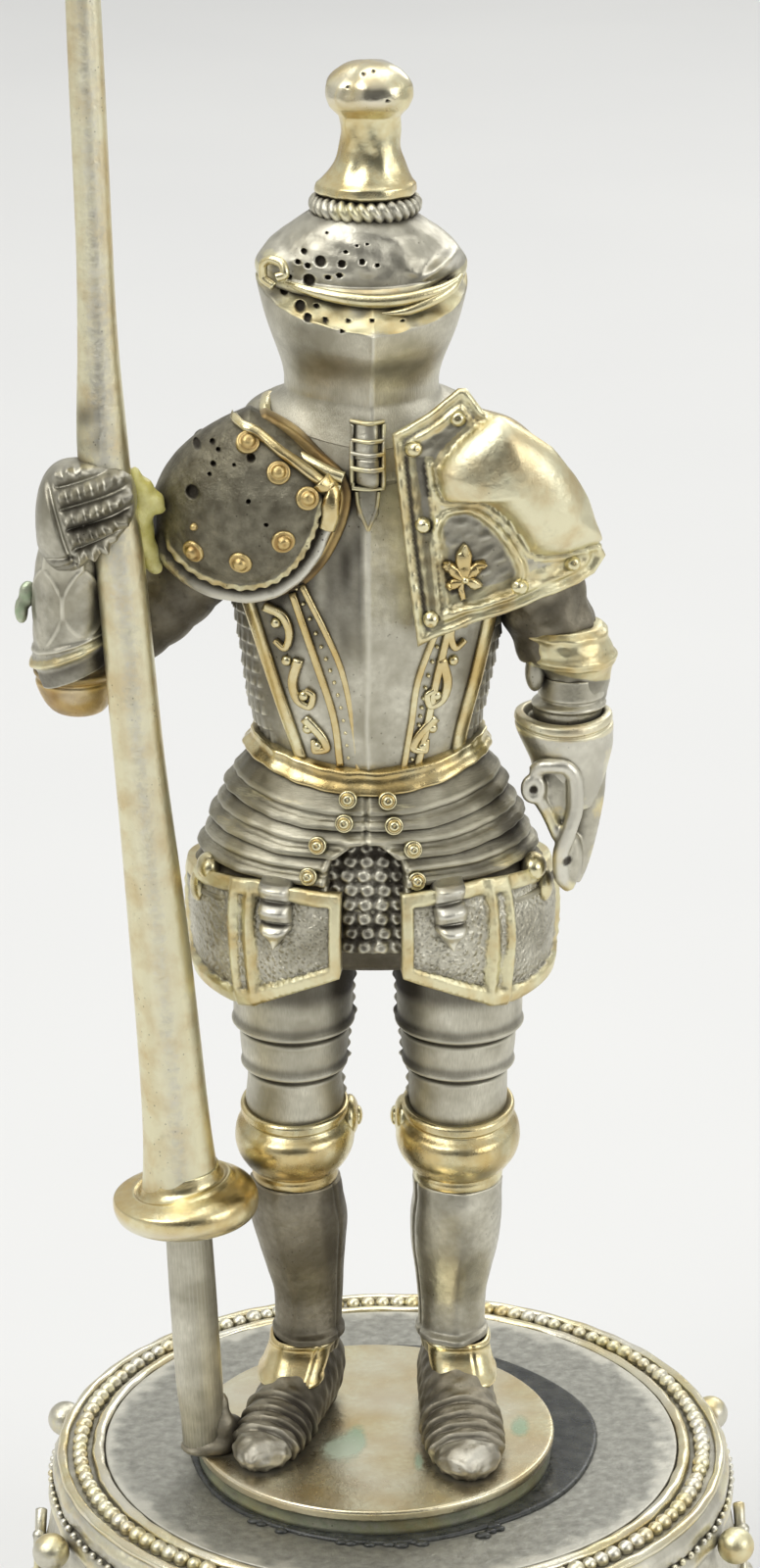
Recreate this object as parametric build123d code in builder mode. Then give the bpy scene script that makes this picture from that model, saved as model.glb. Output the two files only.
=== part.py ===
"""Parcel-gilt knight in jousting armour, standing with a lance on a round pedestal.

Millimetres, +Z up. The origin is the centre of the pedestal's underside. The figure
faces -Y, so its right hand, which holds the lance, is on the -X side.
"""

import os
from math import atan2, degrees, hypot

from build123d import *

# ---------------------------------------------------------------- driving dimensions
PEDESTAL_H = 16.0
PEDESTAL_FOOT_R = 17.4
PEDESTAL_WAIST_R = 15.3
PEDESTAL_WAIST_H = 9.0
SHOULDER_R = 14.9
WALL = 1.4
TOP_PLATE_R = 12.6
TOP_PLATE_T = 1.0
RIM_LEDGE_H = PEDESTAL_H - 0.3
INNER_WIRE_R = 12.95
BEAD_RING_R = 13.72
OUTER_WIRE_R = 14.5
WIRE_R = 0.32
BEAD_R = 0.29
BEAD_COUNT = 138
LOWER_BEAD_R = 0.3
LOWER_BEAD_COUNT = 146
LOWER_BEAD_H = PEDESTAL_H - 1.2
BOSS_COUNT = 8
BOSS_R = 0.75
BOSS_H = 13.6
BOSS_START_ANGLE = 26

ADHESIVE_R = 9.1
ADHESIVE_T = 0.7
FOOTPLATE_R = 7.87
FOOTPLATE_T = 0.6
FOOTPLATE_CENTRE = (-0.73, -1.2)
GROUND = PEDESTAL_H + ADHESIVE_T + FOOTPLATE_T

BODY_X = -0.95  # the trunk's centre line
HELM_X = -1.2

SABATON_H = 3.6
GREAVE_TOP = 11.3
POLEYN_TOP = 15.6
CUISSE_TOP = 21.0
FAULD_BOTTOM = 24.9
FAULD_TOP = 30.3
FAULD_LAMES = 4
TASSET_BOTTOM = 20.3
WAIST_TOP = 31.6
TRUNK_TOP = 43.6
COLLAR_TOP = 46.2
BEVOR_TOP = 51.0
SKULL_TOP = 53.4
TORSE_TOP = 54.2
FINIAL_TOP = 59.6
FINIAL_BALL_R = 1.72
FINIAL_NECK_R = 1.25

MAIL_FRONT = 5.0
MAIL_W = 3.2
MAIL_TOP = 28.2
MAIL_BOTTOM = 22.6
STRAP_FRONT = 5.9
STRAP_OFFSET = 3.5
STRAP_H = 25.4
STRAP_L = 3.4
FAULD_RIVETS = [(BODY_X + side * off, y, h)
                for off, y, h in ((0.85, -4.1, 29.9), (1.05, -4.5, 28.8), (1.95, -4.7, 27.6), (2.3, -5.0, 26.2))
                for side in (-1, 1)]

RIGHT_HEEL, RIGHT_TOE = (-3.4, 1.5), (-6.0, -5.7)
LEFT_HEEL, LEFT_TOE = (2.75, 2.3), (3.5, -6.6)

BAND_FRONT = 3.9
BAND_L = 8.0
CHEST_STRAP_FRONT = 4.3
CHEST_STRAP_H = 43.2
CHEST_STRAP_L = 4.6

RIGHT_SHOULDER = (-6.0, -0.5, 41.0)
LEFT_SHOULDER = (4.4, -0.4, 41.2)
PAULDRON_R = 4.0
PAULDRON_RIVETS = [(-5.7, -4.1, 43.0), (-4.4, -4.2, 42.2), (-3.6, -4.0, 41.4), (-4.4, -4.2, 39.6),
                   (-6.1, -4.3, 39.3), (-8.0, -3.9, 39.5)]
GUARD_PLATE_FRONT = 4.75
GUARD_PLATE_T = 1.6
GUARD_PLATE = [(0.2, 45.2), (2.6, 47.0), (4.0, 46.0), (2.2, 43.4), (2.8, 42.2), (8.2, 40.0), (7.9, 38.6),
               (4.4, 37.8), (1.2, 36.6)]
GUARD_RIVETS = [(0.9, -4.75, 44.7), (1.2, -4.75, 41.7), (1.5, -4.75, 38.0), (7.2, -4.75, 39.6), (2.6, -4.75, 46.2)]
ORNAMENT_CENTRE = (2.9, -4.75, 40.0)

RIGHT_ARM_ROOT = (-7.0, 0.2, 39.6)
RIGHT_ELBOW = (-12.6, -0.4, 34.6)
RIGHT_WRIST = (-13.0, -3.3, 40.2)
RIGHT_FIST = (-12.2, -3.6, 41.9)
FIST_R = 2.2
ELBOW_R = 2.0
SHOULDER_ADHESIVE = (-9.9, -2.6, 41.0)

LEFT_ARM_ROOT = (5.8, 0.0, 39.5)
LEFT_ELBOW = (7.1, -0.3, 35.2)
LEFT_CUFF = (7.35, -0.7, 32.6)
LEFT_WRIST = (7.35, -1.1, 29.0)
LEFT_PALM = (7.2, -1.5, 27.2)
LEFT_FINGERTIPS = (7.6, -2.0, 24.6)

LANCE_FOOT = (-8.25, -3.2, 0.0)
LANCE_GUARD = (-8.95, -3.3, 11.0)
LANCE_HAND = (-11.3, -3.3, 42.0)
LANCE_TIP = (-12.5, -3.3, 80.0)
GRIP_R = 0.98
GUARD_R = 3.05
SHAFT_FOOT_R = 1.62
SHAFT_HAND_R = 1.05
SHAFT_TIP_R = 0.25

# (h above the footplate, centre x, centre y, radius) of each leg, from the ankle up
RIGHT_GREAVE = [(SABATON_H, -3.6, 0.7, 1.45), (6.3, -3.65, 0.6, 1.55), (8.4, -3.85, 0.35, 1.98),
                (10.0, -3.95, 0.2, 2.12), (GREAVE_TOP, -4.1, 0.0, 1.95)]
LEFT_GREAVE = [(SABATON_H, 2.7, 0.9, 1.5), (6.3, 2.7, 0.8, 1.6), (8.4, 2.72, 0.5, 1.85),
               (10.0, 2.8, 0.3, 1.98), (GREAVE_TOP, 2.85, 0.0, 1.9)]
POLEYN_PROFILE = [(GREAVE_TOP, 1.95), (12.2, 2.4), (13.3, 2.72), (14.5, 2.55), (POLEYN_TOP, 2.2)]
CUISSE_PROFILE = [(POLEYN_TOP, 2.2), (17.6, 2.45), (CUISSE_TOP, 2.78)]
RIGHT_KNEE = (-4.12, 0.0)
LEFT_KNEE = (2.85, 0.0)

# (h, half width, half depth) of the trunk and of the skirt
TRUNK = [(WAIST_TOP, 4.5, 3.1), (34.5, 4.95, 3.3), (38.5, 5.8, 3.7), (TRUNK_TOP, 4.6, 3.0)]
HIP_CORE = [(CUISSE_TOP, 5.9, 3.9), (FAULD_BOTTOM, 5.9, 3.9), (FAULD_TOP, 4.3, 3.1)]
FAULD_OUTER = [(FAULD_BOTTOM, 7.7, 5.2), (27.4, 6.9, 4.7), (FAULD_TOP, 5.4, 3.9)]
TASSET_OUTER = [(TASSET_BOTTOM, 6.9, 4.9), (23.6, 7.9, 5.4), (26.4, 7.6, 5.3)]
BEVOR = [(COLLAR_TOP, 3.15, 3.0, 3.2), (48.2, 3.5, 3.2, 3.7), (BEVOR_TOP, 4.25, 3.6, 4.3)]
SKULL = [(BEVOR_TOP, 4.25, 3.6, 3.7), (52.2, 3.6, 3.3, 3.3), (SKULL_TOP, 2.1, 2.0, 2.0)]

os.makedirs("parts", exist_ok=True)


# ---------------------------------------------------------------- helpers
def at(h):
    """The horizontal plane h above the footplate."""
    return Plane.XY.offset(GROUND + h)


def world(point):
    """A point given above the footplate, in the part's own frame."""
    return Vector(point[0], point[1], GROUND + point[2])


def save(builder, name):
    """Label a finished piece and write it as its own STEP file."""
    builder.part.label = name
    export_step(builder.part, f"parts/{name}.step")


def loft_circles(sections):
    """A round limb through (h, x, y, radius) sections."""
    with BuildPart() as limb:
        for h, x, y, radius in sections:
            with BuildSketch(at(h)):
                with Locations((x, y)):
                    Circle(radius)
        loft()
    return limb


def loft_ellipses(sections, x=BODY_X, y=0.0):
    """A wide body through (h, half width, half depth) sections."""
    with BuildPart() as body:
        for h, half_width, half_depth in sections:
            with BuildSketch(at(h)):
                with Locations((x, y)):
                    Ellipse(half_width, half_depth)
        loft()
    return body


def loft_prow(sections):
    """A helm through (h, half width, back, front) sections with a ridge along the front."""
    with BuildPart() as body:
        for h, half_width, back, front in sections:
            left, right = (HELM_X - half_width, 0), (HELM_X + half_width, 0)
            with BuildSketch(at(h)):
                with BuildLine():
                    ThreePointArc(left, (HELM_X, back), right)
                    cheek = 0.62
                    ThreePointArc(right, (HELM_X + cheek * half_width, -cheek * front), (HELM_X, -front))
                    ThreePointArc((HELM_X, -front), (HELM_X - cheek * half_width, -cheek * front), left)
                make_face()
        loft()
    return body


def cone_between(start, end, start_r, end_r):
    """A straight round bar, tapered from one world point to another."""
    run = end - start
    with BuildPart() as bar:
        with BuildSketch(Plane(origin=start, z_dir=run)):
            Circle(start_r)
        with BuildSketch(Plane(origin=end, z_dir=run)):
            Circle(end_r)
        loft()
    return bar


def trim(builder, *others):
    """Cut each other piece out of a finished one, so the two meet face to face."""
    with BuildPart() as trimmed:
        add(builder.part)
        for other in others:
            add(other.part, mode=Mode.SUBTRACT)
    return trimmed


def domes(points, radius, *others):
    """Round-headed rivets at points given above the footplate, cut back to what they sit on."""
    with BuildPart() as rivets:
        with Locations(*[world(p) for p in points]):
            Sphere(radius)
        for other in others:
            add(other.part, mode=Mode.SUBTRACT)
    return rivets


def ring(major_r, minor_r, z):
    """A round wire ring about the pedestal's axis."""
    with BuildPart() as wire:
        with Locations((0, 0, z)):
            Torus(major_r, minor_r)
    return wire


# ---------------------------------------------------------------- pedestal
with BuildPart() as wall:
    with BuildSketch(Plane.XZ):
        with BuildLine():
            Polyline((PEDESTAL_FOOT_R - WALL, 0), (PEDESTAL_FOOT_R, 0), (PEDESTAL_FOOT_R, 1.2))
            ThreePointArc((PEDESTAL_FOOT_R, 1.2), (PEDESTAL_FOOT_R - 1.4, 4.4), (PEDESTAL_WAIST_R, PEDESTAL_WAIST_H))
            Spline((PEDESTAL_WAIST_R, PEDESTAL_WAIST_H), (14.7, 12.6), (SHOULDER_R, PEDESTAL_H - 1.0),
                   (SHOULDER_R - 0.5, RIM_LEDGE_H))
            Polyline((SHOULDER_R - 0.5, RIM_LEDGE_H), (TOP_PLATE_R, RIM_LEDGE_H),
                     (TOP_PLATE_R, PEDESTAL_H - TOP_PLATE_T), (TOP_PLATE_R - 1.2, PEDESTAL_H - TOP_PLATE_T),
                     (TOP_PLATE_R - 1.2, PEDESTAL_H - 2 * WALL), (SHOULDER_R - WALL - 0.4, PEDESTAL_H - 2 * WALL),
                     (PEDESTAL_WAIST_R - WALL, PEDESTAL_WAIST_H), (PEDESTAL_FOOT_R - WALL, 0))
        make_face()
    revolve(axis=Axis.Z)
save(wall, "pedestal_wall")

with BuildPart() as base_plate:
    with BuildSketch(Plane.XY):
        Circle(PEDESTAL_FOOT_R - WALL)
    extrude(amount=WALL)
    add(wall.part, mode=Mode.SUBTRACT)
save(base_plate, "pedestal_base_plate")

with BuildPart() as top_plate:
    with BuildSketch(Plane.XY.offset(PEDESTAL_H - TOP_PLATE_T)):
        Circle(TOP_PLATE_R)
    extrude(amount=TOP_PLATE_T)
save(top_plate, "top_plate")

inner_wire = trim(ring(INNER_WIRE_R, WIRE_R, RIM_LEDGE_H + 0.15), wall, top_plate)
save(inner_wire, "inner_rim_wire")
outer_wire = trim(ring(OUTER_WIRE_R, WIRE_R, RIM_LEDGE_H), wall)
save(outer_wire, "outer_rim_wire")

with BuildPart() as rim_beads:
    with Locations((0, 0, RIM_LEDGE_H + BEAD_R)):
        with PolarLocations(BEAD_RING_R, BEAD_COUNT):
            Sphere(BEAD_R)
save(rim_beads, "rim_beads")

with BuildPart() as lower_beads:
    with Locations((0, 0, LOWER_BEAD_H)):
        with PolarLocations(SHOULDER_R + 1.35 * LOWER_BEAD_R, LOWER_BEAD_COUNT):
            Sphere(LOWER_BEAD_R)
save(lower_beads, "lower_beads")

with BuildPart() as bosses:
    with Locations((0, 0, BOSS_H)):
        with PolarLocations(SHOULDER_R + BOSS_R / 2, BOSS_COUNT, start_angle=BOSS_START_ANGLE):
            Sphere(BOSS_R)
    add(wall.part, mode=Mode.SUBTRACT)
save(bosses, "side_bosses")

# ---------------------------------------------------------------- footplate and its bedding
with BuildPart() as adhesive:
    with BuildSketch(Plane.XY.offset(PEDESTAL_H)):
        Circle(ADHESIVE_R)
    extrude(amount=ADHESIVE_T)
save(adhesive, "adhesive_bed")

with BuildPart() as footplate:
    with BuildSketch(Plane.XY.offset(PEDESTAL_H + ADHESIVE_T)):
        with Locations(FOOTPLATE_CENTRE):
            Circle(FOOTPLATE_R)
    extrude(amount=FOOTPLATE_T)
    chamfer(footplate.edges().group_by(Axis.Z)[-1], FOOTPLATE_T / 4)
save(footplate, "footplate")

# ---------------------------------------------------------------- legs
right_greave = loft_circles(RIGHT_GREAVE)
left_greave = loft_circles(LEFT_GREAVE)
right_poleyn = loft_circles([(h, *RIGHT_KNEE, r) for h, r in POLEYN_PROFILE])
left_poleyn = loft_circles([(h, *LEFT_KNEE, r) for h, r in POLEYN_PROFILE])
right_cuisse = loft_circles([(h, *RIGHT_KNEE, r) for h, r in CUISSE_PROFILE])
left_cuisse = loft_circles([(h, *LEFT_KNEE, r) for h, r in CUISSE_PROFILE])
save(right_greave, "right_greave")
save(left_greave, "left_greave")
save(right_poleyn, "right_poleyn")
save(left_poleyn, "left_poleyn")
save(right_cuisse, "right_cuisse")
save(left_cuisse, "left_cuisse")


def sabaton(heel, toe, height):
    """An armoured shoe: a pointed outline from heel to toe, sloping down over the instep."""
    dx, dy = toe[0] - heel[0], toe[1] - heel[1]
    length = hypot(dx, dy)
    turn = degrees(atan2(dy, dx))
    with BuildPart() as shoe:
        with BuildSketch(Plane(origin=world((*heel, 0)), z_dir=(0, 0, 1)).rotated((0, 0, turn))):
            with BuildLine():
                Spline((0, 1.4), (length * 0.35, 1.7), (length * 0.7, 1.75), (length, 0),
                       (length * 0.7, -1.75), (length * 0.35, -1.7), (0, -1.4), (-1.1, 0), (0, 1.4))
            make_face()
        extrude(amount=height)
        with BuildSketch(Plane(origin=world((*heel, 0)), x_dir=(dx, dy, 0), z_dir=(dy, -dx, 0))):
            with BuildLine():
                Polyline((length * 0.4, height + 0.1), (length + 1, 0.9), (length + 1, height + 0.1),
                         (length * 0.4, height + 0.1))
            make_face()
        extrude(amount=3, both=True, mode=Mode.SUBTRACT)
    return shoe


right_sabaton = sabaton(RIGHT_HEEL, RIGHT_TOE, SABATON_H)
left_sabaton = sabaton(LEFT_HEEL, LEFT_TOE, SABATON_H)
save(right_sabaton, "right_sabaton")
save(left_sabaton, "left_sabaton")

# ---------------------------------------------------------------- hips, fauld and tassets
hip_core = trim(loft_ellipses(HIP_CORE), right_cuisse, left_cuisse)
save(hip_core, "hip_core")

with BuildPart() as mail_panel:
    with BuildSketch(Plane.XZ.offset(MAIL_FRONT)):
        with Locations((BODY_X, GROUND + MAIL_BOTTOM)):
            Rectangle(MAIL_W, MAIL_TOP - MAIL_BOTTOM - MAIL_W / 2, align=(Align.CENTER, Align.MIN))
        with Locations((BODY_X, GROUND + MAIL_TOP - MAIL_W / 2)):
            Circle(MAIL_W / 2)
    extrude(amount=-2.2)
    add(hip_core.part, mode=Mode.SUBTRACT)
save(mail_panel, "mail_panel")

fauld_whole = trim(loft_ellipses(FAULD_OUTER), hip_core, mail_panel)
lame_h = (FAULD_TOP - FAULD_BOTTOM) / FAULD_LAMES
fauld = []
for number in range(FAULD_LAMES):
    with BuildPart() as lame:
        with BuildSketch(at(FAULD_TOP - (number + 1) * lame_h)):
            with Locations((BODY_X, 0)):
                Rectangle(18, 14)
        extrude(amount=lame_h)
        add(fauld_whole.part, mode=Mode.INTERSECT)
    save(lame, f"fauld_lame_{number + 1}")
    fauld.append(lame)

tasset_skirt = trim(loft_ellipses(TASSET_OUTER), hip_core, mail_panel, fauld_whole)
for side, name in ((-1, "right_tasset"), (1, "left_tasset")):
    with BuildPart() as tasset:
        with BuildSketch(at(TASSET_BOTTOM)):
            with Locations((BODY_X + side * MAIL_W / 2, 0)):
                Rectangle(9, 14, align=(Align.MAX if side < 0 else Align.MIN, Align.CENTER))
            with Locations((BODY_X, 0)):
                Ellipse(TASSET_OUTER[0][1] - 0.9, TASSET_OUTER[0][2] - 0.9, mode=Mode.SUBTRACT)
        extrude(amount=6.1)
        add(tasset_skirt.part, mode=Mode.INTERSECT)
        add(right_cuisse.part, mode=Mode.SUBTRACT)
        add(left_cuisse.part, mode=Mode.SUBTRACT)
    save(tasset, name)

for side, name in ((-1, "right_tasset_strap"), (1, "left_tasset_strap")):
    with BuildPart() as strap:
        with BuildSketch(Plane.XZ.offset(STRAP_FRONT)):
            with Locations((BODY_X + side * STRAP_OFFSET, GROUND + STRAP_H)):
                RectangleRounded(0.9, STRAP_L, 0.4)
        extrude(amount=-0.9)
        add(tasset_skirt.part, mode=Mode.SUBTRACT)
        add(fauld_whole.part, mode=Mode.SUBTRACT)
    save(strap, name)

fauld_rivets = domes(FAULD_RIVETS, 0.33, fauld_whole, mail_panel, tasset_skirt)
save(fauld_rivets, "fauld_rivets")

# ---------------------------------------------------------------- trunk
trunk = loft_ellipses(TRUNK)
with BuildPart() as breastplate:
    add(trunk.part)
    split(bisect_by=Plane.XZ, keep=Keep.TOP)
save(breastplate, "breastplate")
with BuildPart() as backplate:
    add(trunk.part)
    split(bisect_by=Plane.XZ, keep=Keep.BOTTOM)
save(backplate, "backplate")

with BuildPart() as waist_flange:
    for h, half_width, half_depth in ((FAULD_TOP, 5.5, 4.0), (WAIST_TOP, 4.6, 3.2)):
        with BuildSketch(at(h)):
            with Locations((BODY_X, 0)):
                Ellipse(half_width, half_depth)
    loft()
save(waist_flange, "waist_flange")

breast_bands = {}
for side, name in ((-1, "right_breast_bands"), (1, "left_breast_bands")):
    with BuildPart() as bands:
        for offset_foot, offset_top, width in ((1.3, 3.1, 0.45), (2.6, 4.6, 0.55)):
            lean = degrees(atan2(offset_top - offset_foot, BAND_L))
            foot = (BODY_X + side * (offset_foot + offset_top) / 2, GROUND + WAIST_TOP + BAND_L / 2 + 0.3)
            with BuildSketch(Plane.XZ.offset(BAND_FRONT)):
                with Locations(Location((*foot, 0), (0, 0, -side * lean))):
                    Rectangle(width, BAND_L)
            extrude(amount=-3.6)
        add(trunk.part, mode=Mode.SUBTRACT)
        add(waist_flange.part, mode=Mode.SUBTRACT)
    breast_bands[name] = bands

# ---------------------------------------------------------------- collar and helm
gorget = loft_ellipses([(TRUNK_TOP, 4.6, 3.0), (TRUNK_TOP + 1.2, 3.9, 3.3), (COLLAR_TOP, 3.15, 3.0)],
                       x=(BODY_X + HELM_X) / 2)
save(gorget, "gorget")
bevor = loft_prow(BEVOR)
save(bevor, "helm_bevor")
skull = loft_prow(SKULL)
save(skull, "helm_skull")

with BuildPart() as torse:
    with Locations((HELM_X, 0, GROUND + SKULL_TOP + 0.42)):
        Torus(1.8, 0.42)
    with BuildSketch(at(SKULL_TOP)):
        with Locations((HELM_X, 0)):
            Circle(1.8)
    extrude(amount=TORSE_TOP - SKULL_TOP)
save(torse, "helm_torse")

ball_h = FINIAL_TOP - FINIAL_BALL_R
with BuildPart() as finial:
    with BuildSketch(Plane.XZ):
        with BuildLine():
            Polyline((HELM_X, GROUND + ball_h), (HELM_X, GROUND + TORSE_TOP),
                     (HELM_X + 1.85, GROUND + TORSE_TOP), (HELM_X + 1.85, GROUND + TORSE_TOP + 0.3))
            Spline((HELM_X + 1.85, GROUND + TORSE_TOP + 0.3), (HELM_X + FINIAL_NECK_R, GROUND + 56.3),
                   (HELM_X + FINIAL_NECK_R, GROUND + ball_h - 0.9))
            Line((HELM_X + FINIAL_NECK_R, GROUND + ball_h - 0.9), (HELM_X, GROUND + ball_h))
        make_face()
    revolve(axis=Axis((HELM_X, 0, 0), (0, 0, 1)))
    with Locations((HELM_X, 0, GROUND + ball_h)):
        Sphere(FINIAL_BALL_R)
save(finial, "helm_finial")

with BuildPart() as chest_strap:
    with BuildSketch(Plane.XZ.offset(CHEST_STRAP_FRONT)):
        with Locations((BODY_X, GROUND + CHEST_STRAP_H)):
            RectangleRounded(1.1, CHEST_STRAP_L, 0.5)
    extrude(amount=-1.6)
    add(trunk.part, mode=Mode.SUBTRACT)
    add(gorget.part, mode=Mode.SUBTRACT)
save(chest_strap, "chest_strap")

# ---------------------------------------------------------------- shoulders
with BuildPart() as right_pauldron:
    with Locations(world(RIGHT_SHOULDER)):
        Sphere(PAULDRON_R)
        Cylinder(2 * PAULDRON_R, PAULDRON_R, align=(Align.CENTER, Align.CENTER, Align.MAX), mode=Mode.SUBTRACT,
                 rotation=(0, 24, 0))
    add(trunk.part, mode=Mode.SUBTRACT)
    add(gorget.part, mode=Mode.SUBTRACT)
save(right_pauldron, "right_pauldron")

with BuildPart() as left_pauldron:
    with Locations(world(LEFT_SHOULDER)):
        Sphere(PAULDRON_R)
        Cylinder(2 * PAULDRON_R, PAULDRON_R, align=(Align.CENTER, Align.CENTER, Align.MAX), mode=Mode.SUBTRACT,
                 rotation=(0, -16, 0))
    add(trunk.part, mode=Mode.SUBTRACT)
    add(gorget.part, mode=Mode.SUBTRACT)
save(left_pauldron, "left_pauldron")

with BuildPart() as grandguard:
    with BuildSketch(Plane.XZ.offset(GUARD_PLATE_FRONT)):
        with BuildLine():
            Polyline(*[(x, GROUND + h) for x, h in GUARD_PLATE], close=True)
        make_face()
    extrude(amount=-GUARD_PLATE_T)
    add(trunk.part, mode=Mode.SUBTRACT)
    add(gorget.part, mode=Mode.SUBTRACT)
    add(left_pauldron.part, mode=Mode.SUBTRACT)
save(grandguard, "left_grandguard")
for name, bands in breast_bands.items():
    save(trim(bands, grandguard, right_pauldron, left_pauldron), name)

with BuildPart() as ornament:
    with Locations(world(ORNAMENT_CENTRE)):
        with PolarLocations(0.75, 3, start_angle=90):
            Sphere(0.55)
        Sphere(0.6)
    add(grandguard.part, mode=Mode.SUBTRACT)
    add(left_pauldron.part, mode=Mode.SUBTRACT)
save(ornament, "grandguard_ornament")

save(domes(PAULDRON_RIVETS, 0.42, right_pauldron), "pauldron_rivets")
save(domes(GUARD_RIVETS, 0.36, grandguard, left_pauldron), "grandguard_rivets")

# ---------------------------------------------------------------- right arm
right_elbow = world(RIGHT_ELBOW)
right_upper_arm = trim(cone_between(world(RIGHT_ARM_ROOT), right_elbow, 2.0, 1.6), right_pauldron, trunk)
with BuildPart() as right_couter:
    with Locations(right_elbow):
        Sphere(ELBOW_R)
    add(right_upper_arm.part, mode=Mode.SUBTRACT)
right_vambrace = trim(cone_between(right_elbow + Vector(-0.2, -0.6, 0.9), world(RIGHT_WRIST), 1.75, 1.25),
                      right_couter, right_upper_arm)

# ---------------------------------------------------------------- lance
guard_point, hand_point = world(LANCE_GUARD), world(LANCE_HAND)
grip = cone_between(world(LANCE_FOOT), guard_point, GRIP_R, GRIP_R)
with BuildPart() as vamplate:
    for rise, radius in ((0, 1.9), (0.5, GUARD_R), (0.9, GUARD_R), (1.5, SHAFT_FOOT_R)):
        with BuildSketch(Plane(origin=guard_point, z_dir=hand_point - guard_point).offset(rise)):
            Circle(radius)
    loft(ruled=True)
shaft_start = guard_point + (hand_point - guard_point).normalized() * 1.5
lower_shaft = cone_between(shaft_start, hand_point, SHAFT_FOOT_R, SHAFT_HAND_R)
upper_shaft = cone_between(hand_point, world(LANCE_TIP), SHAFT_HAND_R, SHAFT_TIP_R)
with BuildPart() as lance_shaft:
    add(lower_shaft.part)
    with Locations(hand_point):
        Sphere(SHAFT_HAND_R)
    add(upper_shaft.part)
    with Locations(world(LANCE_TIP)):
        Sphere(SHAFT_TIP_R)
    add(vamplate.part, mode=Mode.SUBTRACT)
save(lance_shaft, "lance_shaft")
save(vamplate, "lance_vamplate")
save(trim(grip, vamplate, right_sabaton, footplate), "lance_grip")

with BuildPart() as right_fist:
    with Locations(world(RIGHT_FIST)):
        Sphere(FIST_R)
    add(lance_shaft.part, mode=Mode.SUBTRACT)
    add(right_vambrace.part, mode=Mode.SUBTRACT)
save(right_fist, "right_fist")
save(trim(right_vambrace, lance_shaft), "right_vambrace")
save(trim(right_couter, lance_shaft), "right_couter")
save(trim(right_upper_arm, lance_shaft), "right_upper_arm")

with BuildPart() as shoulder_adhesive:
    with Locations(world(SHOULDER_ADHESIVE)):
        Sphere(1.5)
    for other in (lance_shaft, right_pauldron, right_upper_arm, right_fist, right_vambrace, right_couter):
        add(other.part, mode=Mode.SUBTRACT)
save(shoulder_adhesive, "shoulder_adhesive")

# ---------------------------------------------------------------- left arm
left_elbow = world(LEFT_ELBOW)
left_upper_arm = trim(cone_between(world(LEFT_ARM_ROOT), left_elbow, 2.1, 1.85), left_pauldron, trunk,
                      grandguard)
with BuildPart() as left_couter:
    with Locations(left_elbow):
        Sphere(ELBOW_R)
    add(left_upper_arm.part, mode=Mode.SUBTRACT)
cuff_top = world(LEFT_CUFF)
left_forearm = trim(cone_between(left_elbow, cuff_top, 1.6, 1.7), left_couter, left_upper_arm)
left_cuff = trim(cone_between(cuff_top, world(LEFT_WRIST), 2.0, 1.35), left_couter, left_forearm)
with BuildPart() as left_hand:
    with BuildSketch(Plane(origin=world(LEFT_WRIST), z_dir=(0, 0, -1))):
        Ellipse(1.45, 1.1)
    with BuildSketch(Plane(origin=world(LEFT_PALM), z_dir=(0, 0, -1))):
        Ellipse(1.55, 1.0)
    with BuildSketch(Plane(origin=world(LEFT_FINGERTIPS), z_dir=(0, 0, -1))):
        Ellipse(0.6, 0.5)
    loft()
    for other in (left_cuff, tasset_skirt, fauld_whole):
        add(other.part, mode=Mode.SUBTRACT)
save(left_upper_arm, "left_upper_arm")
save(left_couter, "left_couter")
save(left_forearm, "left_forearm")
save(left_cuff, "left_gauntlet_cuff")
save(left_hand, "left_hand")
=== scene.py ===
"""Looks of the parcel-gilt knight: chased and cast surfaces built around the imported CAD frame.

Lengths in the piece tables are millimetres. h is the height above the gilt footplate, x grows
towards the figure's left hand and y towards its back. Everything is scaled to metres when a
mesh is made.
"""

import math

import bpy
import numpy as np
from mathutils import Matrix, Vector
from mathutils.bvhtree import BVHTree
from mathutils.geometry import delaunay_2d_cdt


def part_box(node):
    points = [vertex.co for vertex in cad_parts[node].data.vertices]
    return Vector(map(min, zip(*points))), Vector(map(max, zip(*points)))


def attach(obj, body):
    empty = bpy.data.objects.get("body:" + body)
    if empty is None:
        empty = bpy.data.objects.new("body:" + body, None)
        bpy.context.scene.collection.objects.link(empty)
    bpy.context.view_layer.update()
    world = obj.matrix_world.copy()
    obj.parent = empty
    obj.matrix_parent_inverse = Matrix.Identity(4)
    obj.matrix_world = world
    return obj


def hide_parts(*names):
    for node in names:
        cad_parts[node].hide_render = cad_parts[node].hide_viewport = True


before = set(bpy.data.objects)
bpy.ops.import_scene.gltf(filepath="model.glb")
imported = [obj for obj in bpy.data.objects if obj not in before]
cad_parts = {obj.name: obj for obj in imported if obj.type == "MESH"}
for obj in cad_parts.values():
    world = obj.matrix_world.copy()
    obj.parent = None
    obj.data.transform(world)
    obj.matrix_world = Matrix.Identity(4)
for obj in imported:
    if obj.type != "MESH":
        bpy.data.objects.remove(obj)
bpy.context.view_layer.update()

MM = 0.001
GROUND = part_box("footplate")[1].z / MM      # the footplate's top
TOP_PLATE_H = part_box("top_plate")[1].z / MM
BODY_X = -0.95                              # the trunk's centre line
HELM_X = -1.15
SEED = 7
HAND = {-1: "right", 1: "left"}             # the figure's own, by the sign of x


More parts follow.
